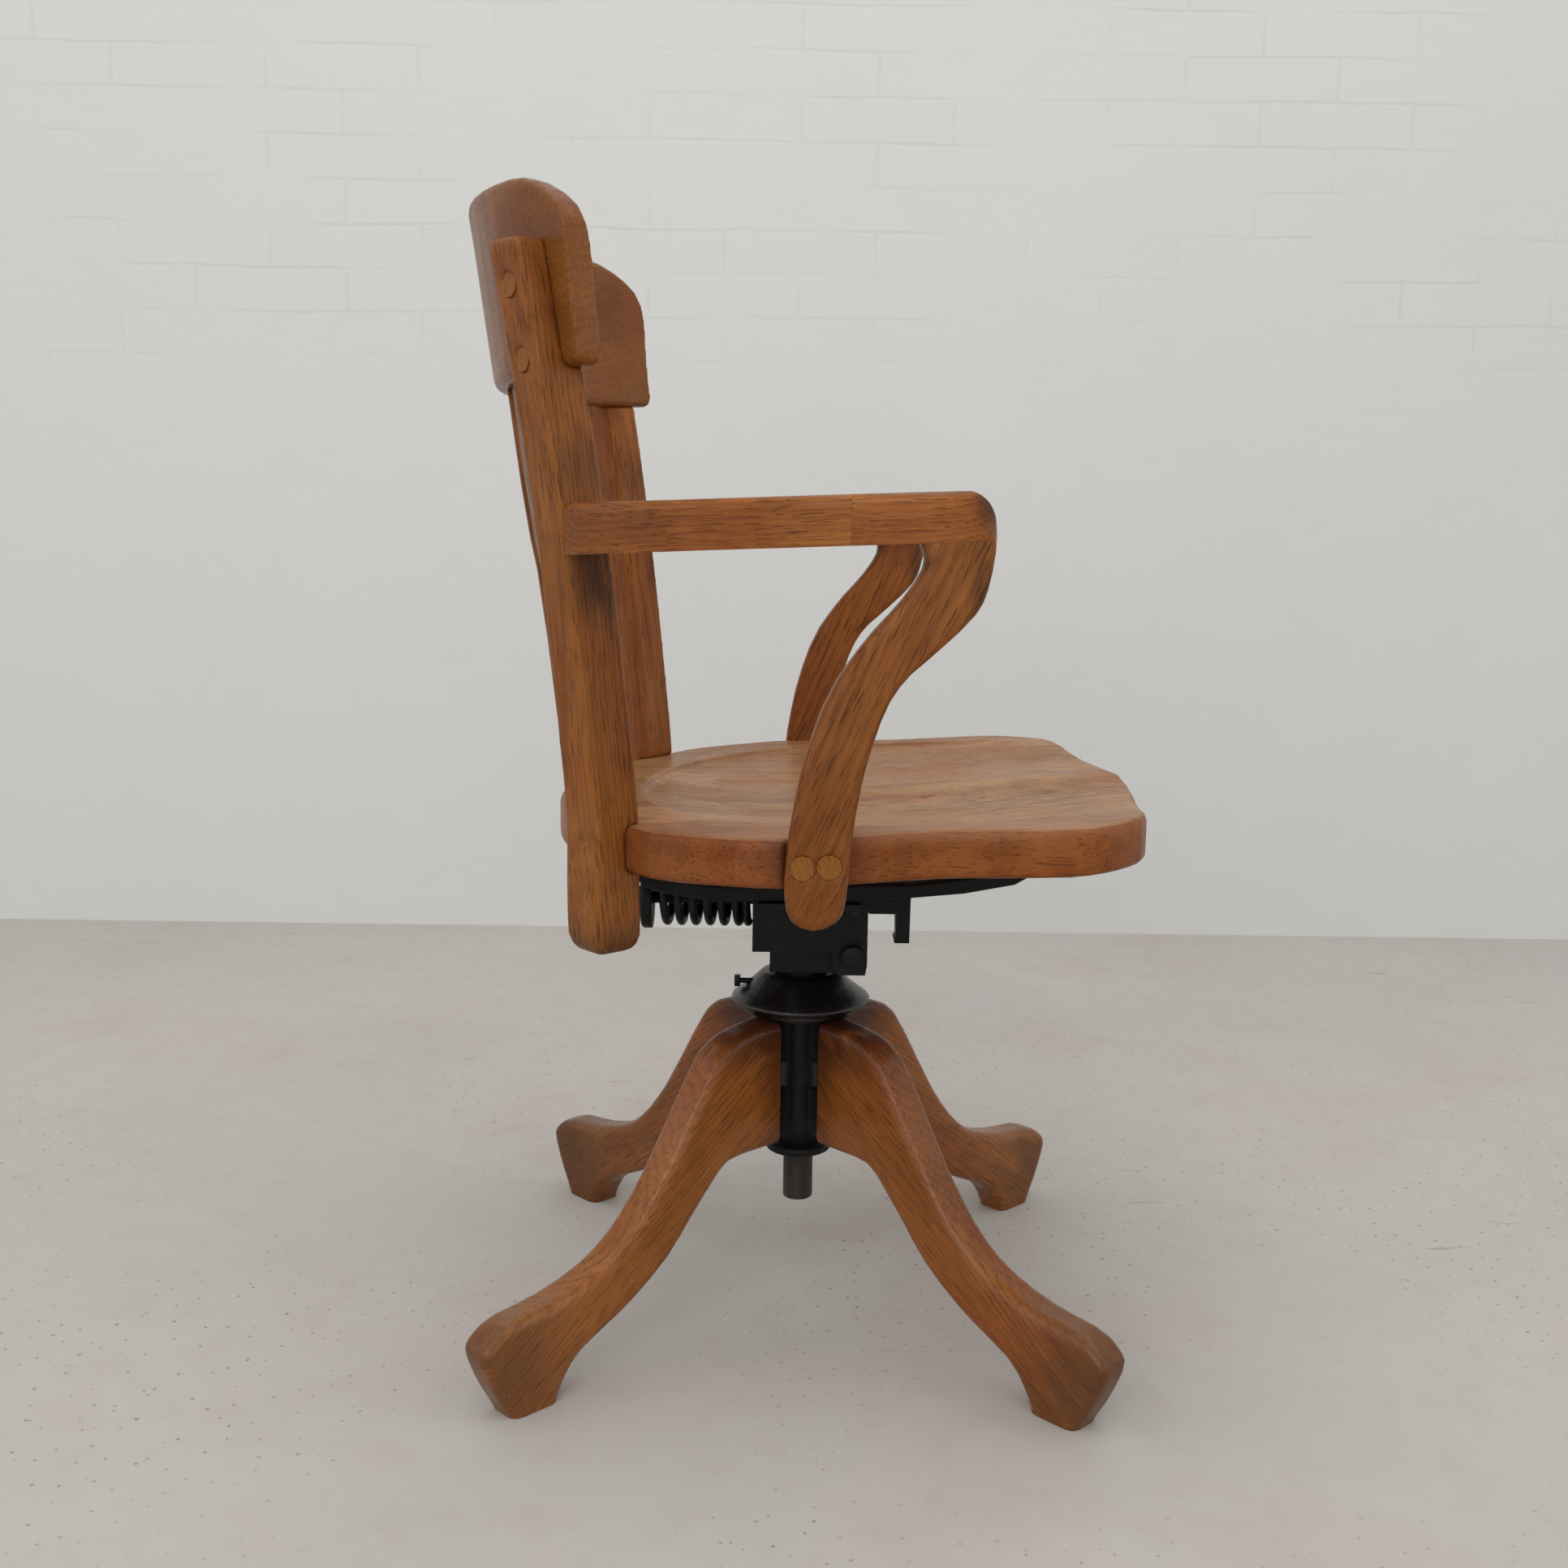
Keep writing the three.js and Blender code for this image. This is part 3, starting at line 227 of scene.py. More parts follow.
def oak(name, along, face, heart=(0.03, 0.09), tones=OAK, ring=4.2 * MM, lift=1.0, red=0.3, stains_and_shade=(),
        streaked=(), wear_and_painted_light=(), gloss=0.30, figure=0.34, coat=0.07, open_grain=0.62, boards=None, rim=None,
        seed=0.0):
    """Oak with its grain along one direction and its broad face across another.

    The heart is how far the tree's middle lies from the axis, a ring one year's width, lift the brightness,
    red the share of reddish polish, gloss the roughness, figure and open_grain the strength of rings and
    pores, boards the width of glued strips and rim the tone of upright edges, redder from polish and darker
    as painted shade. Stains with painted shade, streaks, and places of wear with painted light and painted
    sheen are lists of a centre, a reach, a strength and a tone.
    """
    f = Finish(name)
    turned = f.mapped(f.place, rotation=grain_turn(along, face))
    board_tone = None
    if boards is not None:
        strip = f.axis(turned, "X") / boards + STRIP_OFFSET
        strip_number = {"W": strip.of("FLOOR") + seed}
        board_tone = f.node("ShaderNodeTexWhiteNoise", {"noise_dimensions": "1D"}, strip_number, "Value")
        shares = {0: board_tone * STRIP_SHIFT[0], 1: board_tone * STRIP_SHIFT[1], 2: board_tone}
        shift = f.node("ShaderNodeCombineXYZ", {}, shares)
        turned = f.node("ShaderNodeVectorMath", {"operation": "ADD"}, {0: turned, 1: shift})
    offset = f.mapped(turned, location=(seed * 0.37, seed * 0.21, seed * 0.53))
    wander = f.drawn(offset, 0.16, 14.0, 2.0)
    flame = f.drawn(offset, 0.08, 60.0)
    heart_line = f.mapped(turned, scale=(1, 1, 0), location=(heart[0], heart[1], 0))
    radius = f.node("ShaderNodeVectorMath", {"operation": "LENGTH"}, {0: heart_line}, "Value")
    rings = radius / ring + wander * (WANDER_REACH / ring) + flame * 0.9
    year = rings.of("FRACT")
    late = f.ramp(year, 0.35, 0.90) * f.ramp(year, 1.0, 0.88)
    early = f.ramp(year, 0.30, 0.02)
    streaks = f.drawn(offset, 0.035, 420.0, 3.0, 0.6)
    fine = f.drawn(offset, 0.022, 1400.0, 3.0, 0.6)
    pores = f.drawn(offset, 0.050, 800.0, 2.0, 0.5)
    pore = f.ramp(pores - (0.615 - early * 0.07), -0.01, 0.05)
    flakes = f.ramp(f.noise(f.mapped(offset, scale=(0.35, 1, 0.12)), 240.0, 2.0), 0.60, 0.70)
    patch = f.drawn(offset, 0.25, 15.0)
    cloud = f.noise(f.mapped(f.place, location=(seed, 0, 0)), 10.0, 3.0)
    mottle = f.noise(f.place, 42.0, 3.0)

    colour = f.mix(f.ramp(patch, 0.32, 0.68), tones["mid"], tones["light"])
    colour = f.mix(late * figure, colour, tones["deep"])
    colour = f.mix(f.ramp(streaks, 0.47, 0.72) * 0.40, colour, tones["deep"])
    colour = f.mix(f.ramp(streaks, 0.42, 0.22) * 0.30, colour, tones["light"])
    colour = f.mix(f.ramp(fine, 0.45, 0.75) * 0.22, colour, tones["deep"])
    colour = f.mix(pore * open_grain, colour, tones["pore"])
    colour = f.mix(flakes * 0.14, colour, tones["light"])
    colour = f.tint(colour, f.ramp(mottle, 0.40, 0.70) * 0.35, MOTTLED)
    if board_tone is not None:
        colour = f.tint(colour, 1.0, f.mix(board_tone, DARK_STRIP, PALE_STRIP))
        seam = f.ramp((strip.of("FRACT") - 0.5).of("ABSOLUTE"), 0.4900, 0.4990)
        colour = f.tint(colour, seam * 0.45, SEAM)
    # Upright sides take the rim tone: redder from polish and darker as painted shade, since light comes from
    # above.
    if rim is not None:
        upright = f.axis(f.node("ShaderNodeTexCoord", {}, {}, "Normal"), "Z").of("ABSOLUTE")
        side = f.ramp(upright, 0.95, 0.75) * (0.80 + f.ramp(patch, 0.35, 0.65) * 0.18)
        edge = f.tint(f.mix(late * 0.4, rim, tones["deep"]), pore * 0.8, RIM_PORE)
        edge = f.tint(edge, f.ramp(mottle, 0.42, 0.62) * 0.55, RIM_DIRT_AND_SHADE)
        edge = f.tint(edge, f.ramp(cloud, 0.50, 0.40) * 0.60, RIM_PALE)
        colour = f.mix(side, colour, edge)
        # Painted shade on the rounding between the top and the sides.
        shaded_arris = f.ramp(upright, 0.97, 0.88) * f.ramp(upright, 0.50, 0.80)
        colour = f.tint(colour, shaded_arris * 0.45, RIM_DIRT_AND_SHADE)
    if red:
        colour = f.tint(colour, f.ramp(cloud, 0.46, 0.66) * red, REDDISH)
    # Stains, and painted shade in corners and under other parts.
    for centre, reach, strength, stain_and_shade_tone in stains_and_shade:
        stain_and_shade_patch = f.near(centre, reach) * f.ramp(f.drawn(offset, 0.35, 55.0, 4.0), 0.20, 0.50)
        colour = f.mix(stain_and_shade_patch * strength, colour, stain_and_shade_tone)
    for centre, reach, strength, streak_tone in streaked:
        lines = f.ramp(f.drawn(offset, 0.07, 190.0, 4.0, 0.65), 0.50, 0.62)
        colour = f.mix(f.near(centre, reach) * lines * strength, colour, streak_tone)
    rough = gloss + f.ramp(cloud, 0.40, 0.70) * 0.14 + pore * 0.15 + fine * 0.06
    # Wear makes a place rougher; its lighter tone is partly painted light and painted sheen.
    for centre, reach, strength, wear_and_light_tone in wear_and_painted_light:
        uneven = f.ramp(f.drawn(offset, 0.2, 80.0, 4.0), 0.3, 0.7) * 0.5 + 0.5
        wear_and_light_mask = f.near(centre, reach) * uneven
        colour = f.mix(wear_and_light_mask * strength, colour, wear_and_light_tone)
        rough = rough + wear_and_light_mask * 0.10
    if lift != 1.0:
        colour = f.tint(colour, 1.0, (lift, lift, lift, 1))
    dents = f.noise(f.place, 60.0, 2.0)
    bumps = [(dents, 0.45 * MM), (1 - pore, 0.15 * MM), (streaks, 0.10 * MM)]
    return f.surface(colour, rough, bumps, Coat_Weight=coat, Coat_Roughness=0.20, Specular_IOR_Level=0.14)


# %% [markdown]
# ## Iron and steel
# The castings carry old black paint over a sandy skin: nearly black, with grey where the paint is thin.
# Turned steel is smoother and shows fine rings from the lathe and brown spots of rust.
# One pattern thins the paint and another lays rust on it. Each casting starts elsewhere in the first one, so
# that no two look alike.

# %% Metal tones
SPINDLE_GREY = (0.040, 0.035, 0.032, 1)
BEARING_GREY = (0.10, 0.09, 0.08, 1)
STEEL_GREY = 0.03
STEEL_SHINE = 0.36
BLACK_PAINT = (0.0045, 0.0044, 0.0044, 1)
RUST = (0.024, 0.011, 0.006, 1)
STEEL_RUST = (0.030, 0.016, 0.010, 1)
print("bare metals: spindle", SPINDLE_GREY[:3], "bearing", BEARING_GREY[:3])


# %% The metal finishes
def shaded(tone, share):
    """A colour brought down to a share of its brightness."""
    return tuple(channel * share for channel in tone[:3]) + (1,)


def painted_iron(name, seed=0.0, grey=0.016, shine=0.46, sheen=0.22):
    """Black paint; grey is its tone where thin, shine its roughness and sheen how much it mirrors."""
    f = Finish(name)
    skin = f.noise(f.place, 900.0, 4.0, 0.6)
    lumps = f.noise(f.mapped(f.place, location=(seed, seed, 0)), 120.0, 3.0)
    thin = f.ramp(f.noise(f.mapped(f.place, location=(seed, 0, seed)), 38.0, 5.0, 0.65), 0.50, 0.74)
    rust = f.ramp(f.noise(f.place, 75.0, 5.0, 0.7), 0.62, 0.76)
    colour = f.mix(thin * 0.6, BLACK_PAINT, (grey, grey * 0.97, grey * 0.95, 1))
    colour = f.mix(rust * 0.30, colour, RUST)
    roughness = shine + skin * 0.16 + thin * 0.10
    bumps = [(lumps, 0.5 * MM), (skin, 0.12 * MM)]
    return f.surface(colour, roughness, bumps, Specular_IOR_Level=sheen)


def turned_steel(name, tone):
    """Bare steel turned about the upright axis."""
    f = Finish(name)
    rings = f.noise(f.mapped(f.place, scale=(1, 1, 60)), 60.0, 2.0)
    spots = f.ramp(f.noise(f.place, 130.0, 4.0, 0.7), 0.52, 0.72)
    drift = f.noise(f.place, 30.0, 3.0)
    colour = f.mix(f.ramp(drift, 0.35, 0.65), tone, shaded(tone, 0.6))
    colour = f.mix(spots * 0.6, colour, STEEL_RUST)
    roughness = 0.34 + spots * 0.25 + rings * 0.12
    return f.surface(colour, roughness, [(rings, 0.05 * MM), (spots, 0.06 * MM)], Metallic=0.55)


# %% [markdown]
# ## Working on a piece
# Most of the pieces need what the CAD solids leave out: smooth shading, small rounded edges and cast radii.
# The solid's own mesh is loose triangles and stays as it is, so a copy is joined up, bevelled and shaded.
# A bevel suits iron, but on worn wood its even width looks machined. Such wood is remeshed finely and relaxed
# instead, which rounds thin ends more than thick ones, as wear does.

# %% Selecting and applying
def only(piece):
    """Leaves one piece selected and active."""
    bpy.ops.object.select_all(action="DESELECT")
    piece.hide_set(False)
    piece.select_set(True)
    bpy.context.view_layer.objects.active = piece


def apply_modifier(piece, kind, **settings):
    """Adds one modifier with its settings and applies it."""
    only(piece)
    modifier = piece.modifiers.new(kind.lower(), kind)
    for name, value in settings.items():
        setattr(modifier, name, value)
    bpy.ops.object.modifier_apply(modifier=modifier.name)


# %% From a solid to a piece that stands for it
MERGE_DISTANCE = 0.01 * MM
SMOOTH_UP_TO = 35


def joined_copy(node):
    """A copy of a CAD solid with its own mesh, its corners merged."""
    only(frame["nodes"][node])
    bpy.ops.object.duplicate()
    piece = bpy.context.active_object
    piece.name = f"{node}_shown"
    piece.parent = None
    piece.matrix_world = Matrix.Identity(4)
    for key in [key for key in piece.keys() if key.startswith("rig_")]:
        del piece[key]
    piece.data.materials.clear()
    bpy.ops.object.mode_set(mode="EDIT")
    bpy.ops.mesh.select_all(action="SELECT")
    bpy.ops.mesh.remove_doubles(threshold=MERGE_DISTANCE)
    bpy.ops.object.mode_set(mode="OBJECT")
    return piece


def stand_for(piece, node, finish, angle=SMOOTH_UP_TO):
    """Shades a piece smooth up to an angle, gives it its finish and lets it stand for a CAD node."""
    only(piece)
    bpy.ops.object.shade_smooth_by_angle(angle=math.radians(angle))
    piece.data.materials.clear()
    piece.data.materials.append(finish)
    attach(piece, body_of[node])
    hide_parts(node)
    print(f"{piece.name}: {len(piece.data.polygons)} faces")


def carry(node, finish):
    """Keeps a CAD node and gives it its finish."""
    solid = frame["nodes"][node]
    if not solid.material_slots:
        solid.data.materials.append(finish)
    for slot in solid.material_slots:
        slot.material = finish


# %% Cast and turned pieces
ROUND_ABOVE = math.radians(40)
SMOOTH_ON_TURNED = 30


def softened(node, finish, edge=None, angle=SMOOTH_UP_TO):
    """A joined copy of a solid, with a small round on every sharp edge if an edge width is given."""
    piece = joined_copy(node)
    if edge is not None:
        apply_modifier(piece, "BEVEL", width=edge, segments=2, limit_method="ANGLE", angle_limit=ROUND_ABOVE,
                       harden_normals=False, use_clamp_overlap=True)
    stand_for(piece, node, finish, angle)
    return piece


# %% Flat faces drawn out before the relaxing
DRAWN_OUT = 5 * MM
FLAT_ENOUGH = 0.999
PLANE_REACH = 0.2 * MM


def draw_out(piece, point, normal):
    """Extrudes the flat faces that lie on a plane outwards."""
    only(piece)
    point, normal = Vector(point), Vector(normal).normalized()
    bpy.ops.object.mode_set(mode="EDIT")
    bpy.ops.mesh.select_mode(type="FACE")
    bpy.ops.mesh.select_all(action="DESELECT")
    mesh = bmesh.from_edit_mesh(piece.data)
    chosen = 0
    for face in mesh.faces:
        flat = face.normal.dot(normal) > FLAT_ENOUGH
        if flat and abs((face.calc_center_median() - point).dot(normal)) < PLANE_REACH:
            face.select_set(True)
            chosen += 1
    bmesh.update_edit_mesh(piece.data)
    bpy.ops.mesh.extrude_region_move(TRANSFORM_OT_translate={"value": normal * DRAWN_OUT})
    bpy.ops.object.mode_set(mode="OBJECT")
    print(f"{piece.name}: {chosen} faces drawn out")


# %% Worn wood
RELAX_FACTOR = 0.5
SMOOTH_ON_CUT_WOOD, SMOOTH_ON_WORN_WOOD = 50, 60


def rubbed(node, finish, voxel, passes, flats=(), reshape=None, swell=0.0):
    """A copy of a solid remeshed finely and relaxed, for wood that hands and clothes have rounded.

    Faces named in flats, as a point and an outward normal, are drawn out first and cut back at the end,
    so that joints and soles stay flat with crisp edges. A swell makes up for what the relaxing takes away.
    """
    piece = joined_copy(node)
    for point, normal in flats:
        draw_out(piece, point, normal)
    apply_modifier(piece, "REMESH", mode="VOXEL", voxel_size=voxel, adaptivity=0.0)
    apply_modifier(piece, "SMOOTH", factor=RELAX_FACTOR, iterations=passes)
    if swell:
        apply_modifier(piece, "DISPLACE", strength=swell, mid_level=0.0, direction="NORMAL")
    if reshape is not None:
        reshape(piece)
    for point, normal in flats:
        only(piece)
        bpy.ops.object.mode_set(mode="EDIT")
        bpy.ops.mesh.select_all(action="SELECT")
        bpy.ops.mesh.bisect(plane_co=point, plane_no=normal, use_fill=True, clear_outer=True)
        bpy.ops.object.mode_set(mode="OBJECT")
    stand_for(piece, node, finish, SMOOTH_ON_CUT_WOOD if flats else SMOOTH_ON_WORN_WOOD)


# %% [markdown]
# ## Legs
# Each leg is sawn from a plank, so its grain is straight and runs down the slope of the leg. Its upper faces
# are lighter, rubbed by wear and lit as painted light, and its feet are darker; its inner end carries painted
# shade under the hub and against the iron tube. Relaxing rounds every edge, so the sole and the face on the
# iron tube are kept flat.

# %% Legs
BASE_TURN = -1
LEG_PLACES = {"rear_left": 45, "rear_right": 135, "front_right": 225, "front_left": 315}
LEG_SLOPE = -0.72
LEG_INNER_END = 0.038
# Brightness of each leg's oak: the same oak is lighter on some legs and darker on others, partly as painted
# light.
LEG_TONE_AND_LIGHT = {"rear_left": 0.88, "rear_right": 1.20, "front_right": 1.02, "front_left": 1.18}
LEG_VOXEL = 1.8 * MM
SOLE_HEIGHT = 0.1 * MM
for place, degrees in LEG_PLACES.items():
    turn = math.radians(degrees + BASE_TURN)
    outward = Vector((math.cos(turn), math.sin(turn), 0))
    sideways = (-math.sin(turn), math.cos(turn), 0)
    along = (outward.x, outward.y, LEG_SLOPE)
    # A darker foot, and painted shade on the inner end under the hub and against the iron tube.
    stains_and_shade = [
        (outward * 0.325 + Vector((0, 0, 0.035)), (0.10, 0.10, 0.09), 0.70, (0.072, 0.031, 0.012, 1)),
        (outward * 0.052 + Vector((0, 0, 0.245)), (0.075, 0.075, 0.050), 0.90, (0.036, 0.009, 0.005, 1)),
        (outward * 0.040 + Vector((0, 0, 0.19)), (0.032, 0.032, 0.11), 0.85, (0.030, 0.008, 0.004, 1)),
    ]
    # Upper faces lighter: rubbed by wear, and lit as painted light.
    wear_and_painted_light = [
        (outward * 0.160 + Vector((0, 0, 0.190)), (0.06, 0.06, 0.05), 0.30, (0.30, 0.12, 0.050, 1)),
        (outward * 0.285 + Vector((0, 0, 0.078)), (0.06, 0.06, 0.014), 0.35, (0.27, 0.14, 0.075, 1)),
    ]
    finish = oak(f"leg oak {place}", along, sideways, heart=(0.02, 0.07), stains_and_shade=stains_and_shade, wear_and_painted_light=wear_and_painted_light,
                 lift=LEG_TONE_AND_LIGHT[place], red=0.45, gloss=0.24, figure=0.34, coat=0.30, seed=degrees / 45)
    flats = [(outward * LEG_INNER_END, -outward), ((0, 0, SOLE_HEIGHT), (0, 0, -1))]
    rubbed(f"leg_{place}", finish, voxel=LEG_VOXEL, passes=5, flats=flats, swell=1.0 * MM)

# %% [markdown]
# ## Seat
# The seat is glued up from boards that run front to back and is hollowed by hand, which leaves two thigh
# hollows and a ridge between them. It is the palest part, rubbed by clothes, with a painted highlight on its
# ridge.
# Its upright rim is redder from polish and darker as painted shade, and painted shade lies where the arm
# supports meet its sides. The solid already holds the hollow, but softly. Sculpting could give it its clear
# rear rim. Moving each point by a formula does it evenly on both sides, so that way is taken.

# %% Seat tones and marks
HONEY = {
    "light": (0.470, 0.262, 0.128, 1),
    "mid": (0.350, 0.172, 0.075, 1),
    "deep": (0.175, 0.070, 0.026, 1),
    "pore": (0.080, 0.030, 0.013, 1),
}
# The seat's upright rim: redder from polish and darker as painted shade.
SIDE_POLISH_AND_SHADE = (0.205, 0.052, 0.0075, 1)
seat_stains_and_shade = [
    (Vector((0.12, -0.06, 0.445)), (0.09, 0.24, 0.05), 0.55, (0.335, 0.140, 0.055, 1)),
    (Vector((-0.245, -0.05, 0.459)), (0.065, 0.24, 0.02), 0.60, (0.330, 0.135, 0.060, 1)),
    (Vector((-0.12, 0.02, 0.445)), (0.09, 0.18, 0.05), 0.40, (0.300, 0.165, 0.090, 1)),
    (Vector((-0.235, 0.09, 0.455)), (0.06, 0.07, 0.02), 0.65, (0.200, 0.070, 0.022, 1)),
    # Painted shade where the arm supports meet the seat's sides.
    (Vector((-0.272, 0.0, 0.440)), (0.02, 0.045, 0.04), 0.75, (0.050, 0.014, 0.006, 1)),
    (Vector((0.272, 0.0, 0.440)), (0.02, 0.045, 0.04), 0.75, (0.050, 0.014, 0.006, 1)),
]
seat_streaks = [
    (Vector((-0.11, -0.17, 0.452)), (0.075, 0.11, 0.03), 0.80, (0.105, 0.055, 0.032, 1)),
    (Vector((0.03, -0.19, 0.455)), (0.05, 0.07, 0.03), 0.55, (0.130, 0.060, 0.028, 1)),
    (Vector((-0.08, 0.06, 0.448)), (0.05, 0.09, 0.03), 0.45, (0.150, 0.080, 0.045, 1)),
]
seat_wear_and_highlight = [
    # The ridge is paler from wear and carries a painted highlight.
    (Vector((0.0, -0.12, 0.455)), (0.035, 0.20, 0.03), 0.55, (0.530, 0.315, 0.140, 1)),
    (Vector((-0.13, -0.10, 0.448)), (0.06, 0.20, 0.03), 0.35, (0.440, 0.270, 0.155, 1)),
]
print("marks on the seat:", len(seat_stains_and_shade) + len(seat_streaks) + len(seat_wear_and_highlight))

# %% The hollow's rear rim
HOLLOW = {"half_width": 0.222, "rear": 0.182, "centre_y": -0.048, "depth": 0.013, "flat_share": 0.55,
          "lowest": 0.432, "sharp_share": 0.75}
FACING_UP = 0.5
HOLLOW_FADE = (-0.10, -0.23)


def smooth_step(start, end, value):
    """0 at the start, 1 at the end and an even bend between them."""
    share = min(max((value - start) / (end - start), 0), 1)
    return share * share * (3 - 2 * share)


def sharpen_hollow(piece):
    """Gives the hollow the clear rim that a scoop leaves at the rear; the solid's rim is only soft."""
    moved = 0
    faces_upward = [vertex.normal.z > FACING_UP for vertex in piece.data.vertices]
    for vertex, faces_up in zip(piece.data.vertices, faces_upward):
        x, y, z = vertex.co
        reach = math.hypot(x / HOLLOW["half_width"], max(y - HOLLOW["centre_y"], 0) / HOLLOW["rear"])
        if z < HOLLOW["lowest"] or reach >= 1 or not faces_up:
            continue
        soft = HOLLOW["depth"] * smooth_step(1, HOLLOW["flat_share"], reach)
        scooped = HOLLOW["depth"] * math.sqrt(1 - reach ** 3)
        faded = HOLLOW["sharp_share"] * smooth_step(HOLLOW_FADE[1], HOLLOW_FADE[0], y)
        vertex.co.z -= (scooped - soft) * faded
        moved += 1
    print(f"{piece.name}: {moved} points lowered")


# %% Seat board
seat_finish = oak("seat oak", (0, 1, 0), (0, 0, 1), heart=(0.012, 0.05), tones=HONEY, boards=0.074,
                  stains_and_shade=seat_stains_and_shade, streaked=seat_streaks, wear_and_painted_light=seat_wear_and_highlight, rim=SIDE_POLISH_AND_SHADE, red=0.30, gloss=0.32,
                  figure=0.30, seed=3.0)
rubbed("seat_board", seat_finish, voxel=2.4 * MM, passes=2, reshape=sharpen_hollow, swell=0.05 * MM)

# %% [markdown]
# ## Back
# The posts, the bent crest rail and the thin slats are straight-grained. The back of the rail is dulled where
# light and hands have worn the polish, and greyish as painted sheen; its top edge carries a painted
# highlight.
# The posts carry painted shade under the arms, in the corner above them, under the seat and under the rail.
# The rail's upper corners are fuller than the solid's, so they are filled out by a formula once it is
# relaxed. The slats are thin and keep the solids' crisp edges.

# %% Posts
# A greyish painted sheen, for polish that mirrors the light.
PAINTED_SHEEN = (0.250, 0.130, 0.068, 1)
# Near black: grime, and painted shade beside and under other parts.
PAINTED_SHADE_AND_GRIME = (0.030, 0.013, 0.008, 1)
POST_BACK = (0.67, 0.74)
# The same oak on both posts, lighter on one and darker on the other, partly as painted light.
POST_TONE_AND_LIGHT = {"left": 1.20, "right": 0.96}
for side, sign in zip(SIDES, (1, -1)):
    # Painted shade on the post: under the arm, in the corner above it, under the seat and under the rail.
    stains_and_shade = [
        (Vector((sign * 0.212, 0.135, 0.625)), (0.045, 0.05, 0.060), 0.85, PAINTED_SHADE_AND_GRIME),
        (Vector((sign * 0.205, 0.150, 0.700)), (0.05, 0.05, 0.035), 0.45, PAINTED_SHADE_AND_GRIME),
        (Vector((sign * 0.19, 0.145, 0.355)), (0.06, 0.06, 0.030), 0.50, PAINTED_SHADE_AND_GRIME),
        (Vector((sign * 0.215, 0.165, 0.80)), (0.030, 0.030, 0.060), 0.70, (0.150, 0.032, 0.009, 1)),
    ]
    post_back = (sign * POST_BACK[0], POST_BACK[1], 0)
    post_finish = oak(f"post oak {side}", (sign * 0.04, 0.10, 1), post_back, heart=(0.04, 0.06),
                      stains_and_shade=stains_and_shade, lift=POST_TONE_AND_LIGHT[side], seed=5.0 + sign)
    rubbed(f"back_post_{side}", post_finish, voxel=1.7 * MM, passes=5, swell=0.6 * MM)

# %% Crest rail
rail_wear_and_sheen = [
    # Painted sheen on the back of the rail, a painted highlight along its top edge and a lighter far end.
    (Vector((0, 0.27, 0.83)), (0.30, 0.13, 0.12), 0.45, PAINTED_SHEEN),
    (Vector((0, 0.25, 0.895)), (0.26, 0.09, 0.02), 0.30, (0.26, 0.13, 0.070, 1)),
    (Vector((0.20, 0.10, 0.81)), (0.07, 0.12, 0.12), 0.60, (0.290, 0.105, 0.026, 1)),
]
rail_finish = oak("crest oak", (1, 0, 0), (0, 1, 0), heart=(0.05, 0.12), wear_and_painted_light=rail_wear_and_sheen, red=0.5, gloss=0.27,
                  figure=0.18, open_grain=0.25, lift=0.82, coat=0.16, ring=7 * MM, seed=8.0)

SHOULDER = {"from_z": 0.80, "to_z": 0.865, "top_z": 0.896, "from_x": 0.165, "to_x": 0.210,
            "outward": 2.0 * MM, "forward": 1.4 * MM, "upward": 1.0 * MM, "drop": 3.0 * MM}


def fill_shoulders(piece):
    """Rounds the rail's upper corners fuller than the solid's and sets its top a little lower."""
    for vertex in piece.data.vertices:
        x, y, z = vertex.co
        end = smooth_step(SHOULDER["from_x"], SHOULDER["to_x"], abs(x))
        top = smooth_step(SHOULDER["to_z"], SHOULDER["top_z"], z)
        corner = end * smooth_step(SHOULDER["from_z"], SHOULDER["to_z"], z) * (1 - top)
        vertex.co.x += math.copysign(SHOULDER["outward"] * corner, x)
        vertex.co.y -= SHOULDER["forward"] * corner
        vertex.co.z += SHOULDER["upward"] * corner - SHOULDER["drop"] * top
    print(f"{piece.name}: top set {SHOULDER['drop'] / MM:.0f} mm lower")


rubbed("crest_rail", rail_finish, voxel=1.6 * MM, passes=8, reshape=fill_shoulders, swell=0.2 * MM)

# %% Slats
SLAT_COUNT = 5
for number in range(1, SLAT_COUNT + 1):
    slat_finish = oak(f"slat oak {number}", (0, 0.14, 1), (0, 1, 0), seed=10.0 + number, lift=0.9)
    softened(f"back_slat_{number}", slat_finish)

# %% [markdown]
# ## Arms
# Each arm is a bent board with a darker block glued to its front, on a curved support sawn from a plank.
# The front of the arm is where hands rest, so its polish is worn on top, greyish there as painted sheen, and
# dark round the nose. The arm's rear end at the post and the support under the arm carry painted shade.
# The boards meet on flat joints, so the faces there are drawn out before the relaxing and cut back after it.

# %% Arms and supports
# A grey painted sheen on the top of the arm's front block.
PAINTED_GREY_SHEEN = (0.190, 0.125, 0.092, 1)
ARM_UNDER_HEIGHT, ARM_UNDER_SLOPE = 0.6479, 0.0492
GLUE_LINE = 0.04 * MM
ARM_JOINT = -0.0244
ARM_VOXEL = 1.5 * MM
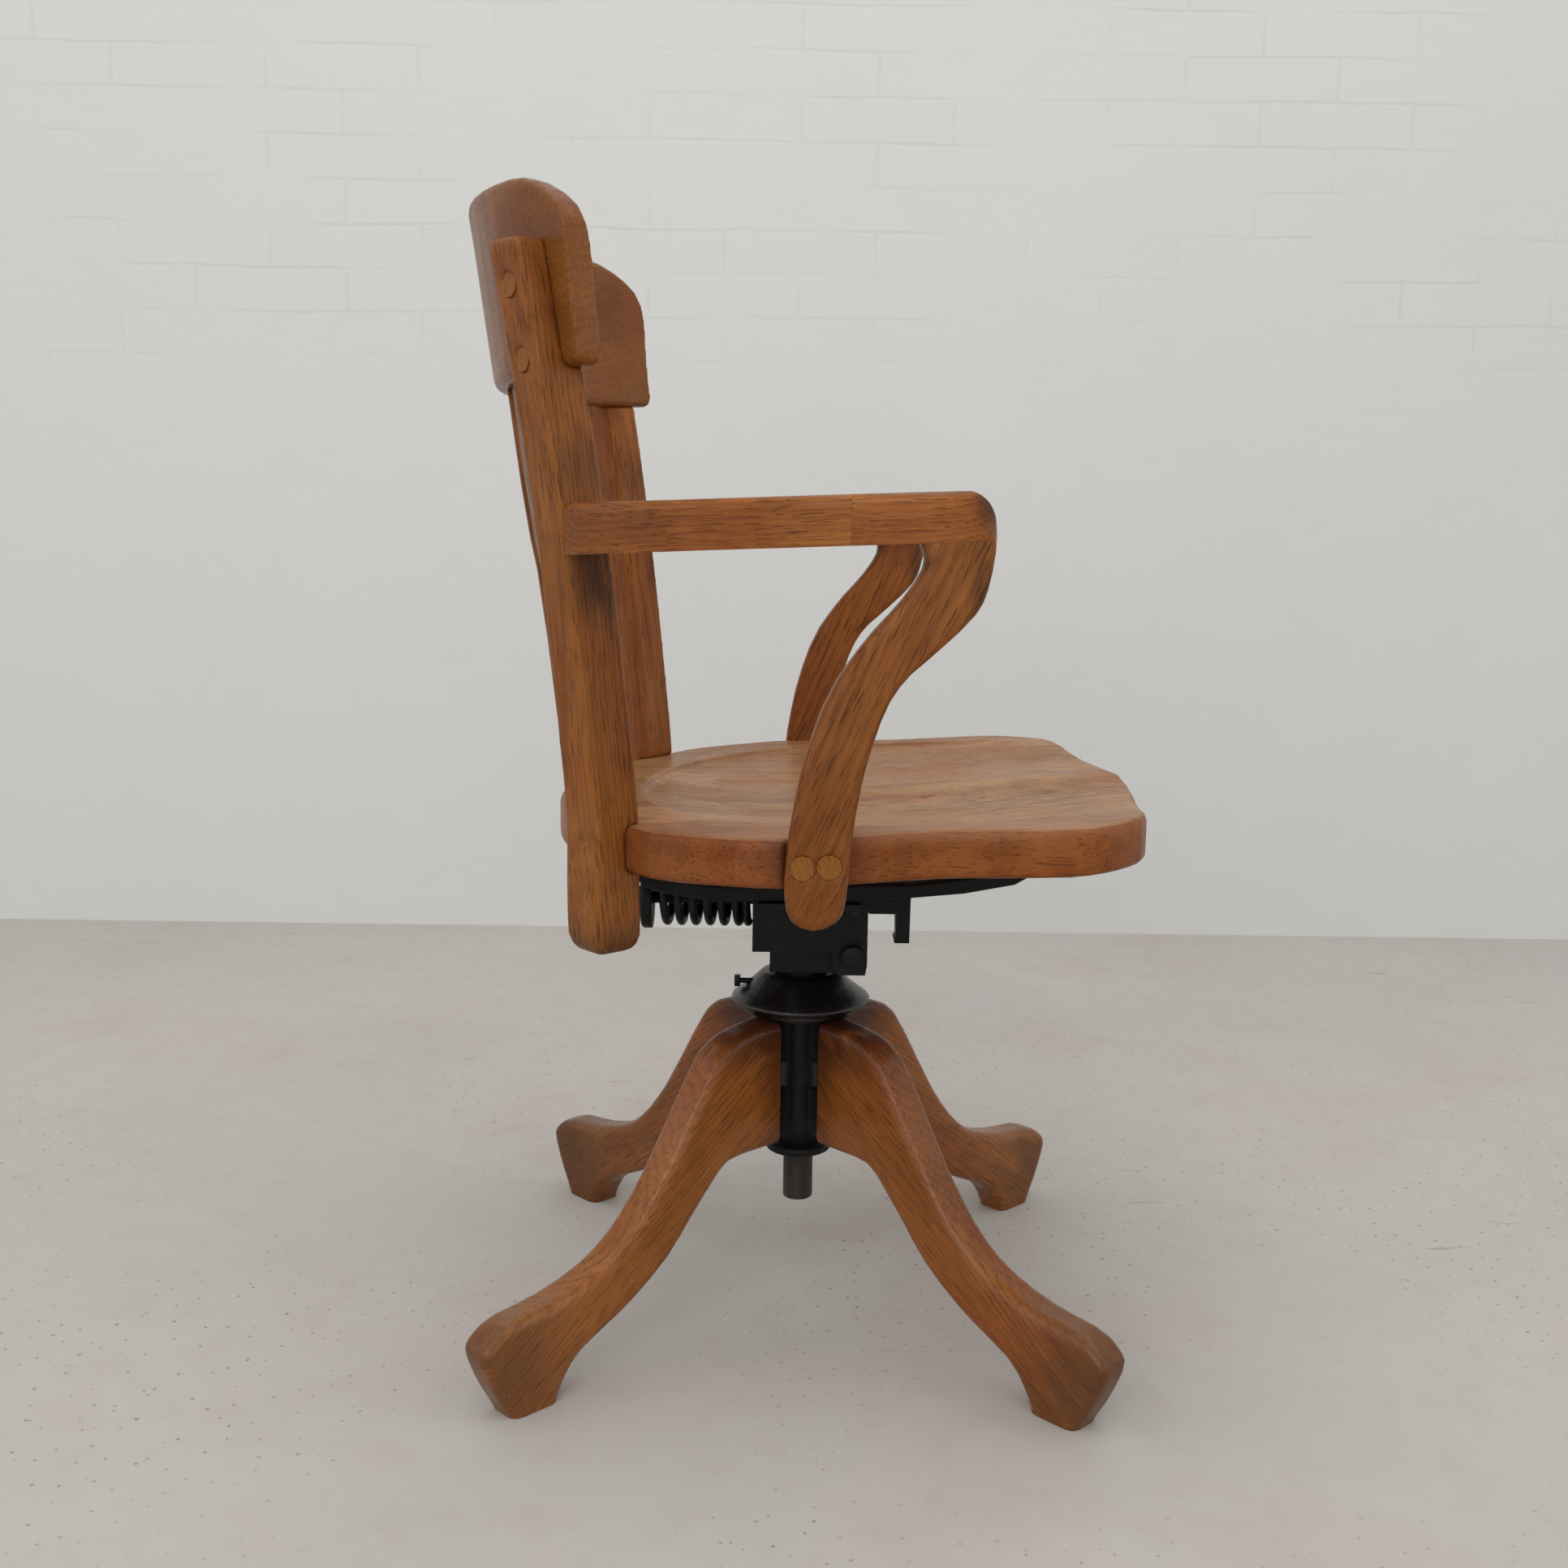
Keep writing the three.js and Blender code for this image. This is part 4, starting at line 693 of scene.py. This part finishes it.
# The same oak on both supports, lighter on one and darker on the other, partly as painted light.
SUPPORT_TONE_AND_LIGHT = {"left": 1.15, "right": 0.92}
under_point = Vector((0, 0, ARM_UNDER_HEIGHT))
under_normal = Vector((0, -ARM_UNDER_SLOPE, -1)).normalized()
for side, sign in zip(SIDES, (1, -1)):
    # Painted shade where the arm's rear end meets the post.
    arm_joint_shade = [
        (Vector((sign * 0.220, 0.150, 0.66)), (0.04, 0.035, 0.03), 0.35, PAINTED_SHADE_AND_GRIME),
        (Vector((sign * 0.243, 0.115, 0.66)), (0.02, 0.03, 0.02), 0.20, PAINTED_SHADE_AND_GRIME),
    ]
    # The arm's top is rubbed and carries a painted sheen.
    arm_wear_and_sheen = [(Vector((sign * 0.26, -0.01, 0.683)), (0.06, 0.20, 0.005), 0.45, PAINTED_SHEEN)]
    arm_finish = oak(f"arm oak {side}", (sign * -0.28, 1, -0.045), (0, 0, 1), heart=(0.05, 0.03),
                     stains_and_shade=arm_joint_shade, wear_and_painted_light=arm_wear_and_sheen, red=0.15, lift=1.16, seed=20.0 + sign)
    rear_flats = [(under_point, under_normal), ((0, ARM_JOINT + GLUE_LINE, 0), (0, -1, 0))]
    rubbed(f"armrest_{side}", arm_finish, voxel=ARM_VOXEL, passes=3, flats=rear_flats)
    block_stains = [
        (Vector((sign * 0.27, -0.117, 0.680)), (0.06, 0.022, 0.025), 0.85, PAINTED_SHADE_AND_GRIME),
        (Vector((sign * 0.29, -0.060, 0.686)), (0.02, 0.05, 0.006), 0.50, PAINTED_SHADE_AND_GRIME),
    ]
    # The block's top is rubbed and carries a grey painted sheen.
    block_wear_and_sheen = [(Vector((sign * 0.27, -0.065, 0.6845)), (0.05, 0.055, 0.004), 0.75, PAINTED_GREY_SHEEN)]
    block_finish = oak(f"arm front oak {side}", (sign * -0.1, 1, -0.045), (0, 0, 1), heart=(0.07, 0.02),
                       stains_and_shade=block_stains, wear_and_painted_light=block_wear_and_sheen, red=0.15, lift=1.24, seed=23.0 + sign)
    front_flats = [(under_point, under_normal), ((0, ARM_JOINT - GLUE_LINE, 0), (0, 1, 0))]
    rubbed(f"armrest_front_{side}", block_finish, voxel=ARM_VOXEL, passes=2, flats=front_flats)
    # Painted shade on the support under the arm.
    support_shade_under_arm = [
        (Vector((sign * 0.278, -0.112, 0.62)), (0.05, 0.016, 0.05), 0.65, PAINTED_SHADE_AND_GRIME),
        (Vector((sign * 0.28, -0.07, 0.640)), (0.04, 0.02, 0.016), 0.55, PAINTED_SHADE_AND_GRIME),
    ]
    support_finish = oak(f"support oak {side}", (0, -0.45, 1), (1, 0, 0), heart=(0.03, 0.05),
                         stains_and_shade=support_shade_under_arm, red=0.20, lift=SUPPORT_TONE_AND_LIGHT[side], seed=26.0 + sign)
    top_flat = [(under_point + under_normal * 2 * GLUE_LINE, -under_normal)]
    rubbed(f"arm_support_{side}", support_finish, voxel=ARM_VOXEL, passes=3, flats=top_flat)

# %% [markdown]
# ## Plugs
# Round wooden plugs hide the screws. They are cut across the grain, so they show as paler discs. A disc could
# be painted on the wood, but a piece of its own catches the light at its edge. They are shown a little wider
# than the solids, which closes the softened edge of their holes.

# %% Wooden plugs
PALE = {
    "light": (0.255, 0.100, 0.018, 1),
    "mid": (0.222, 0.080, 0.013, 1),
    "deep": (0.165, 0.052, 0.008, 1),
    "pore": (0.080, 0.024, 0.005, 1),
}
PLUG_WIDER = 1.05
PLUG_PLACES = ("post_plug_lower", "post_plug_upper", "support_plug_rear", "support_plug_front")
for side, sign in zip(SIDES, (1, -1)):
    for index, place in enumerate(PLUG_PLACES):
        plug_finish = oak(f"plug oak {side} {index}", (0, 0.3, 1), (1, 0, 0), tones=PALE,
                          seed=30.0 + index + sign)
        plug = softened(f"{place}_{side}", plug_finish)
        outwards = (sign, 0, 0) if "support" in place else (sign * POST_BACK[0], POST_BACK[1], 0)
        facing = Vector(outwards)
        face = max(plug.data.polygons, key=lambda polygon: polygon.normal.dot(facing)).normal.copy()
        middle = sum((vertex.co for vertex in plug.data.vertices), Vector()) / len(plug.data.vertices)
        wider = Matrix.Scale(PLUG_WIDER, 4) @ Matrix.Scale(1 / PLUG_WIDER, 4, face)
        plug.data.transform(Matrix.Translation(middle) @ wider @ Matrix.Translation(-middle))

# %% [markdown]
# ## Mechanism
# The castings were poured in sand, so every edge is a little round. They keep the solids' shapes with such a
# round on each edge. Only the hook's bar is set thinner from below. Pins, rods and nuts are bar steel with
# smaller rounds, and the spindle and the bearing ring are left bare.

# %% Castings
CASTINGS = ("hub_column", "handwheel", "hub_casting", "tilt_yoke", "front_hook", "spring_end_cap",
            "seat_iron_left", "seat_iron_right", "column_nut")
CAST_EDGE = 0.9 * MM
WHEEL_SHINE, CAST_SHINE = 0.20, 0.46
SHEENS = {"handwheel": 0.5, "hub_column": 0.30}
CAST_SHEEN = 0.20
HOOK_BAR_UNDER = 0.3437
HOOK_BAR_RAISE = 2.5 * MM
HOOK_BAR_REACH = 1.2 * MM
for index, node in enumerate(CASTINGS):
    shine = WHEEL_SHINE if node == "handwheel" else CAST_SHINE
    sheen = SHEENS.get(node, CAST_SHEEN)
    iron = painted_iron(f"painted iron {node}", index * 0.7, shine=shine, sheen=sheen)
    softened(node, iron, CAST_EDGE)
for vertex in bpy.data.objects["front_hook_shown"].data.vertices:
    if abs(vertex.co.z - HOOK_BAR_UNDER) < HOOK_BAR_REACH:
        vertex.co.z += HOOK_BAR_RAISE
print(f"hook bar raised by {HOOK_BAR_RAISE / MM:.1f} mm")

# %% Turned and forged steel
STEEL_EDGE = 0.4 * MM
for node in ("set_screw", "pivot_pin", "pivot_nut", "tension_rod", "tension_nut"):
    black = painted_iron(f"black steel {node}", 0.3, STEEL_GREY, STEEL_SHINE)
    softened(node, black, STEEL_EDGE)
softened("spindle", turned_steel("spindle steel", SPINDLE_GREY), angle=SMOOTH_ON_TURNED)
softened("bearing_ring", turned_steel("bearing steel", BEARING_GREY), angle=SMOOTH_ON_TURNED)

# %% [markdown]
# ## Tilt spring
# A spring is a round wire wound on a cylinder. A circle set beside the axis and turned by the Screw modifier
# gives exactly that, and keeps the wire's section true, where a bent curve would flatten it a little.
# The first loop lies close, as on a spring with a closed end.

# %% The wound wire
SPRING_RADIUS = 20 * MM
WIRE_RADIUS = 3.5 * MM
SPRING_TURNS = 6.75
SPRING_START = 0.0414 + WIRE_RADIUS
SPRING_END = 0.1252 - WIRE_RADIUS
SPRING_HEIGHT = 0.3495
CLOSED_RISE = 0.0077
WIRE_POINTS = 20
STEPS_PER_TURN = 48
SPRING_FOOT = (0, SPRING_START, SPRING_HEIGHT)

bpy.ops.object.select_all(action="DESELECT")
bpy.ops.mesh.primitive_circle_add(vertices=WIRE_POINTS, radius=WIRE_RADIUS, fill_type="NOTHING",
                                  location=(0, SPRING_RADIUS, 0), rotation=(0, math.pi / 2, 0))
spring = bpy.context.active_object
spring.name = "tilt_spring_shown"
bpy.ops.object.transform_apply(location=True, rotation=True, scale=True)
run = SPRING_END - SPRING_START
steps = int(STEPS_PER_TURN * SPRING_TURNS)
apply_modifier(spring, "SCREW", axis="Z", angle=2 * math.pi * SPRING_TURNS, screw_offset=run, steps=steps,
               render_steps=steps, use_merge_vertices=False)
open_rise = (run - CLOSED_RISE) / (SPRING_TURNS - 1)
for vertex in spring.data.vertices:
    turns_made = vertex.index // WIRE_POINTS / STEPS_PER_TURN
    wanted = CLOSED_RISE * min(turns_made, 1) + open_rise * max(turns_made - 1, 0)
    vertex.co.z += wanted - run * turns_made / SPRING_TURNS
print(f"wire wound {SPRING_TURNS} times over {run / MM:.1f} mm")

# %% Closed ends and place
bpy.ops.object.mode_set(mode="EDIT")
bpy.ops.mesh.select_all(action="DESELECT")
bpy.ops.mesh.select_mode(type="EDGE")
bpy.ops.mesh.select_non_manifold()
bpy.ops.mesh.edge_face_add()
bpy.ops.mesh.select_all(action="SELECT")
bpy.ops.mesh.normals_make_consistent(inside=False)
bpy.ops.object.mode_set(mode="OBJECT")
spring.data.transform(Matrix.Translation(SPRING_FOOT) @ Matrix.Rotation(-math.pi / 2, 4, "X"))
stand_for(spring, "tilt_spring", painted_iron("spring steel", 0.9, STEEL_GREY, STEEL_SHINE))
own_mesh(spring)

# %% [markdown]
# ## Fasteners
# Screws, bolts and the anchor pin sit inside other pieces. Their solids are right as they are and only get
# the steel's finish.

# %% Fasteners that keep their solids
hidden_steel = painted_iron("fastener steel", 0.2, STEEL_GREY, STEEL_SHINE)
fasteners = [node for node in body_of if "screw_" in node or "iron_bolt" in node or node == "anchor_pin"]
for node in fasteners:
    carry(node, hidden_steel)
print("fasteners:", len(fasteners))


# %% [markdown]
# ## Room
# A pale cement floor and a wall of whitewashed bricks stand for the studio. The wall is behind the chair at
# the distance at which the photograph shows the floor's end. Both are flat planes: their unevenness is far
# smaller than the chair's forms, so the finish can carry it.

# %% The floor's finish
FLOOR_TONE = (0.510, 0.475, 0.443, 1)
FLOOR_WORN = (0.92, 0.90, 0.88, 1)
FLOOR_STAIN = (0.95, 0.90, 0.84, 1)
GRIT = (0.16, 0.12, 0.10, 1)
SCRATCH = (0.22, 0.18, 0.16, 1)


def plaster_floor(name, tone):
    """Pale cement with stains, grit and short scratches."""
    f = Finish(name)
    broad = f.noise(f.place, 1.6, 5.0, 0.6)
    small = f.noise(f.place, 24.0, 4.0, 0.6)
    brown = f.ramp(f.noise(f.mapped(f.place, location=(3, 5, 0)), 2.6, 5.0, 0.65), 0.48, 0.72)
    busy = f.ramp(f.noise(f.mapped(f.place, location=(7, 1, 0)), 2.3, 3.0), 0.36, 0.56)
    grains = {"Vector": f.place, "Scale": 42.0}
    dots = f.node("ShaderNodeTexVoronoi", {"voronoi_dimensions": "2D"}, grains, "Distance")
    grit = f.ramp(dots + f.noise(f.place, 90.0, 2.0) * 0.16, 0.15, 0.10) * busy
    lines = f.noise(f.mapped(f.place, rotation=(0, 0, 0.9), scale=(1, 0.10, 1)), 75.0, 3.0)
    scratch = f.ramp(lines, 0.705, 0.74) * busy
    colour = f.mix(f.ramp(broad, 0.35, 0.68), tone, shaded(tone, 0.94))
    colour = f.tint(colour, f.ramp(small, 0.45, 0.75) * 0.5, FLOOR_WORN)
    colour = f.tint(colour, brown * 0.55, FLOOR_STAIN)
    colour = f.mix(grit * 0.65, colour, GRIT)
    colour = f.mix(scratch * 0.45, colour, SCRATCH)
    return f.surface(colour, 0.60 + small * 0.2, [(small, 0.4 * MM)], Specular_IOR_Level=0.3)


# %% The wall's finish
WALL_TONE = (0.665, 0.667, 0.650, 1)
JOINT_SHADE = (0.945, 0.945, 0.94, 1)


def brick_wall(name, tone):
    """Bricks under many coats of whitewash: only some joints still show, mostly higher up."""
    f = Finish(name)
    wavy = f.noise(f.place, 3.0, 3.0) * 0.022
    flat = f.node("ShaderNodeCombineXYZ", {}, {0: f.axis(f.place, "Y"), 1: f.axis(f.place, "Z") + wavy})
    bricks = {"Vector": flat, "Scale": 1.0, "Mortar Size": 0.0042, "Mortar Smooth": 0.8, "Brick Width": 0.235,
              "Row Height": 0.066}
    joints = f.node("ShaderNodeTexBrick", {}, bricks, "Fac")
    shown = f.ramp(f.noise(f.mapped(f.place, scale=(1, 1, 3)), 3.2, 4.0), 0.42, 0.64)
    higher = f.ramp(f.axis(f.place, "Z"), 0.75, 1.05)
    joint = joints * shown * higher
    broad = f.noise(f.place, 1.1, 5.0, 0.6)
    small = f.noise(f.place, 40.0, 4.0, 0.6)
    lumps = f.noise(f.place, 9.0, 3.0)
    colour = f.mix(f.ramp(broad, 0.35, 0.68), tone, shaded(tone, 0.97))
    colour = f.tint(colour, joint, JOINT_SHADE)
    bumps = [(lumps, 2.0 * MM), (small, 0.3 * MM), (1 - joint, 0.3 * MM)]
    return f.surface(colour, 0.60 + small * 0.2, bumps, Specular_IOR_Level=0.3)


# %% Floor and wall
def stage_plane(name, placing, finish):
    """A plane of the room, which doesn't belong to the chair."""
    bpy.ops.object.select_all(action="DESELECT")
    bpy.ops.mesh.primitive_plane_add(size=1)
    plane = bpy.context.active_object
    plane.name = name
    plane.data.transform(placing)
    plane.data.materials.append(finish)
    print(f"{name}: {len(plane.data.polygons)} face, not part of the chair")


FLOOR_SIZE = 12
FLOOR_Z = -0.4 * MM
WALL_X, WALL_MIDDLE, WALL_HEIGHT = 1.33, 2.0, 4.2
on_floor = Matrix.Translation((0, 0, FLOOR_Z)) @ Matrix.Diagonal((FLOOR_SIZE, FLOOR_SIZE, 1, 1))
stood_up = Matrix.Rotation(-math.pi / 2, 4, "Y") @ Matrix.Diagonal((WALL_HEIGHT, FLOOR_SIZE, 1, 1))
on_wall = Matrix.Translation((WALL_X, 0, WALL_MIDDLE)) @ stood_up
stage_plane("floor", on_floor, plaster_floor("pale floor", FLOOR_TONE))
stage_plane("wall", on_wall, brick_wall("white wall", WALL_TONE))

# %% [markdown]
# ## Light
# The photograph has soft daylight with hardly a shadow: an even sky does most, and a wide lamp overhead and
# one from the camera's side give the highlights. A sky alone would do for the brightness, but polished wood
# and paint need something bright to mirror.

# %% Lamps and sky
LAMP_TONE = (1.0, 0.99, 0.97)
SKY_TONE = (0.98, 0.99, 1.0, 1)
SKY_STRENGTH = 0.95


def lamp(name, place, aim, size, power):
    """A window-like area lamp."""
    data = bpy.data.lights.new(name, "AREA")
    data.shape = "RECTANGLE"
    data.size, data.size_y = size
    data.energy = power
    data.color = LAMP_TONE
    thing = bpy.data.objects.new(name, data)
    bpy.context.scene.collection.objects.link(thing)
    thing.location = place
    thing.rotation_euler = (Vector(aim) - Vector(place)).to_track_quat("-Z", "Y").to_euler()
    print(f"{name}: {power} W")


lamp("window_overhead", place=(-0.3, -0.2, 2.9), aim=(0, 0, 0.3), size=(3.2, 3.2), power=19)
lamp("window_camera_side", place=(-2.6, 0.9, 1.7), aim=(0, 0, 0.5), size=(1.8, 1.6), power=18)
world = bpy.data.worlds.new("sky")
world.use_nodes = True
background = world.node_tree.nodes["Background"]
background.inputs["Color"].default_value = SKY_TONE
background.inputs["Strength"].default_value = SKY_STRENGTH
bpy.context.scene.world = world
bpy.context.scene.view_settings.view_transform = "Standard"

# %% [markdown]
# ## Camera
# The camera stands on the chair's right, a little below the arms' height, and looks slightly down. Its place
# and its three angles were worked out from the equal legs and from level and upright edges. Its axes are
# therefore built from these numbers, instead of aiming it by eye.

# %% Camera
FOCAL_PIXELS = 2088.5
FRAME_PIXELS = 1932
SENSOR_WIDTH = 36
NEAREST_SEEN = 0.05
YAW, PITCH, ROLL = (math.radians(angle) for angle in (-0.16, 8.78, 0.80))
CAMERA_PLACE = Vector((-1.4005, 0.0205, 0.6638))
forward = Vector((math.cos(YAW), math.sin(YAW), 0))
up = Vector((0, 0, 1))
right = forward.cross(up)
forward_down = math.cos(PITCH) * forward - math.sin(PITCH) * up
up_tilted = math.sin(PITCH) * forward + math.cos(PITCH) * up
right_rolled = math.cos(ROLL) * right + math.sin(ROLL) * up_tilted
up_rolled = -math.sin(ROLL) * right + math.cos(ROLL) * up_tilted
camera_data = bpy.data.cameras.new("camera")
camera_data.sensor_width = SENSOR_WIDTH
camera_data.lens = SENSOR_WIDTH * FOCAL_PIXELS / FRAME_PIXELS
camera_data.clip_start = NEAREST_SEEN
camera = bpy.data.objects.new("camera", camera_data)
bpy.context.scene.collection.objects.link(camera)
turn = Matrix((right_rolled, up_rolled, -forward_down)).transposed()
camera.matrix_world = Matrix.Translation(CAMERA_PLACE) @ turn.to_4x4()
bpy.context.scene.camera = camera
print(f"lens: {camera_data.lens:.1f} mm")
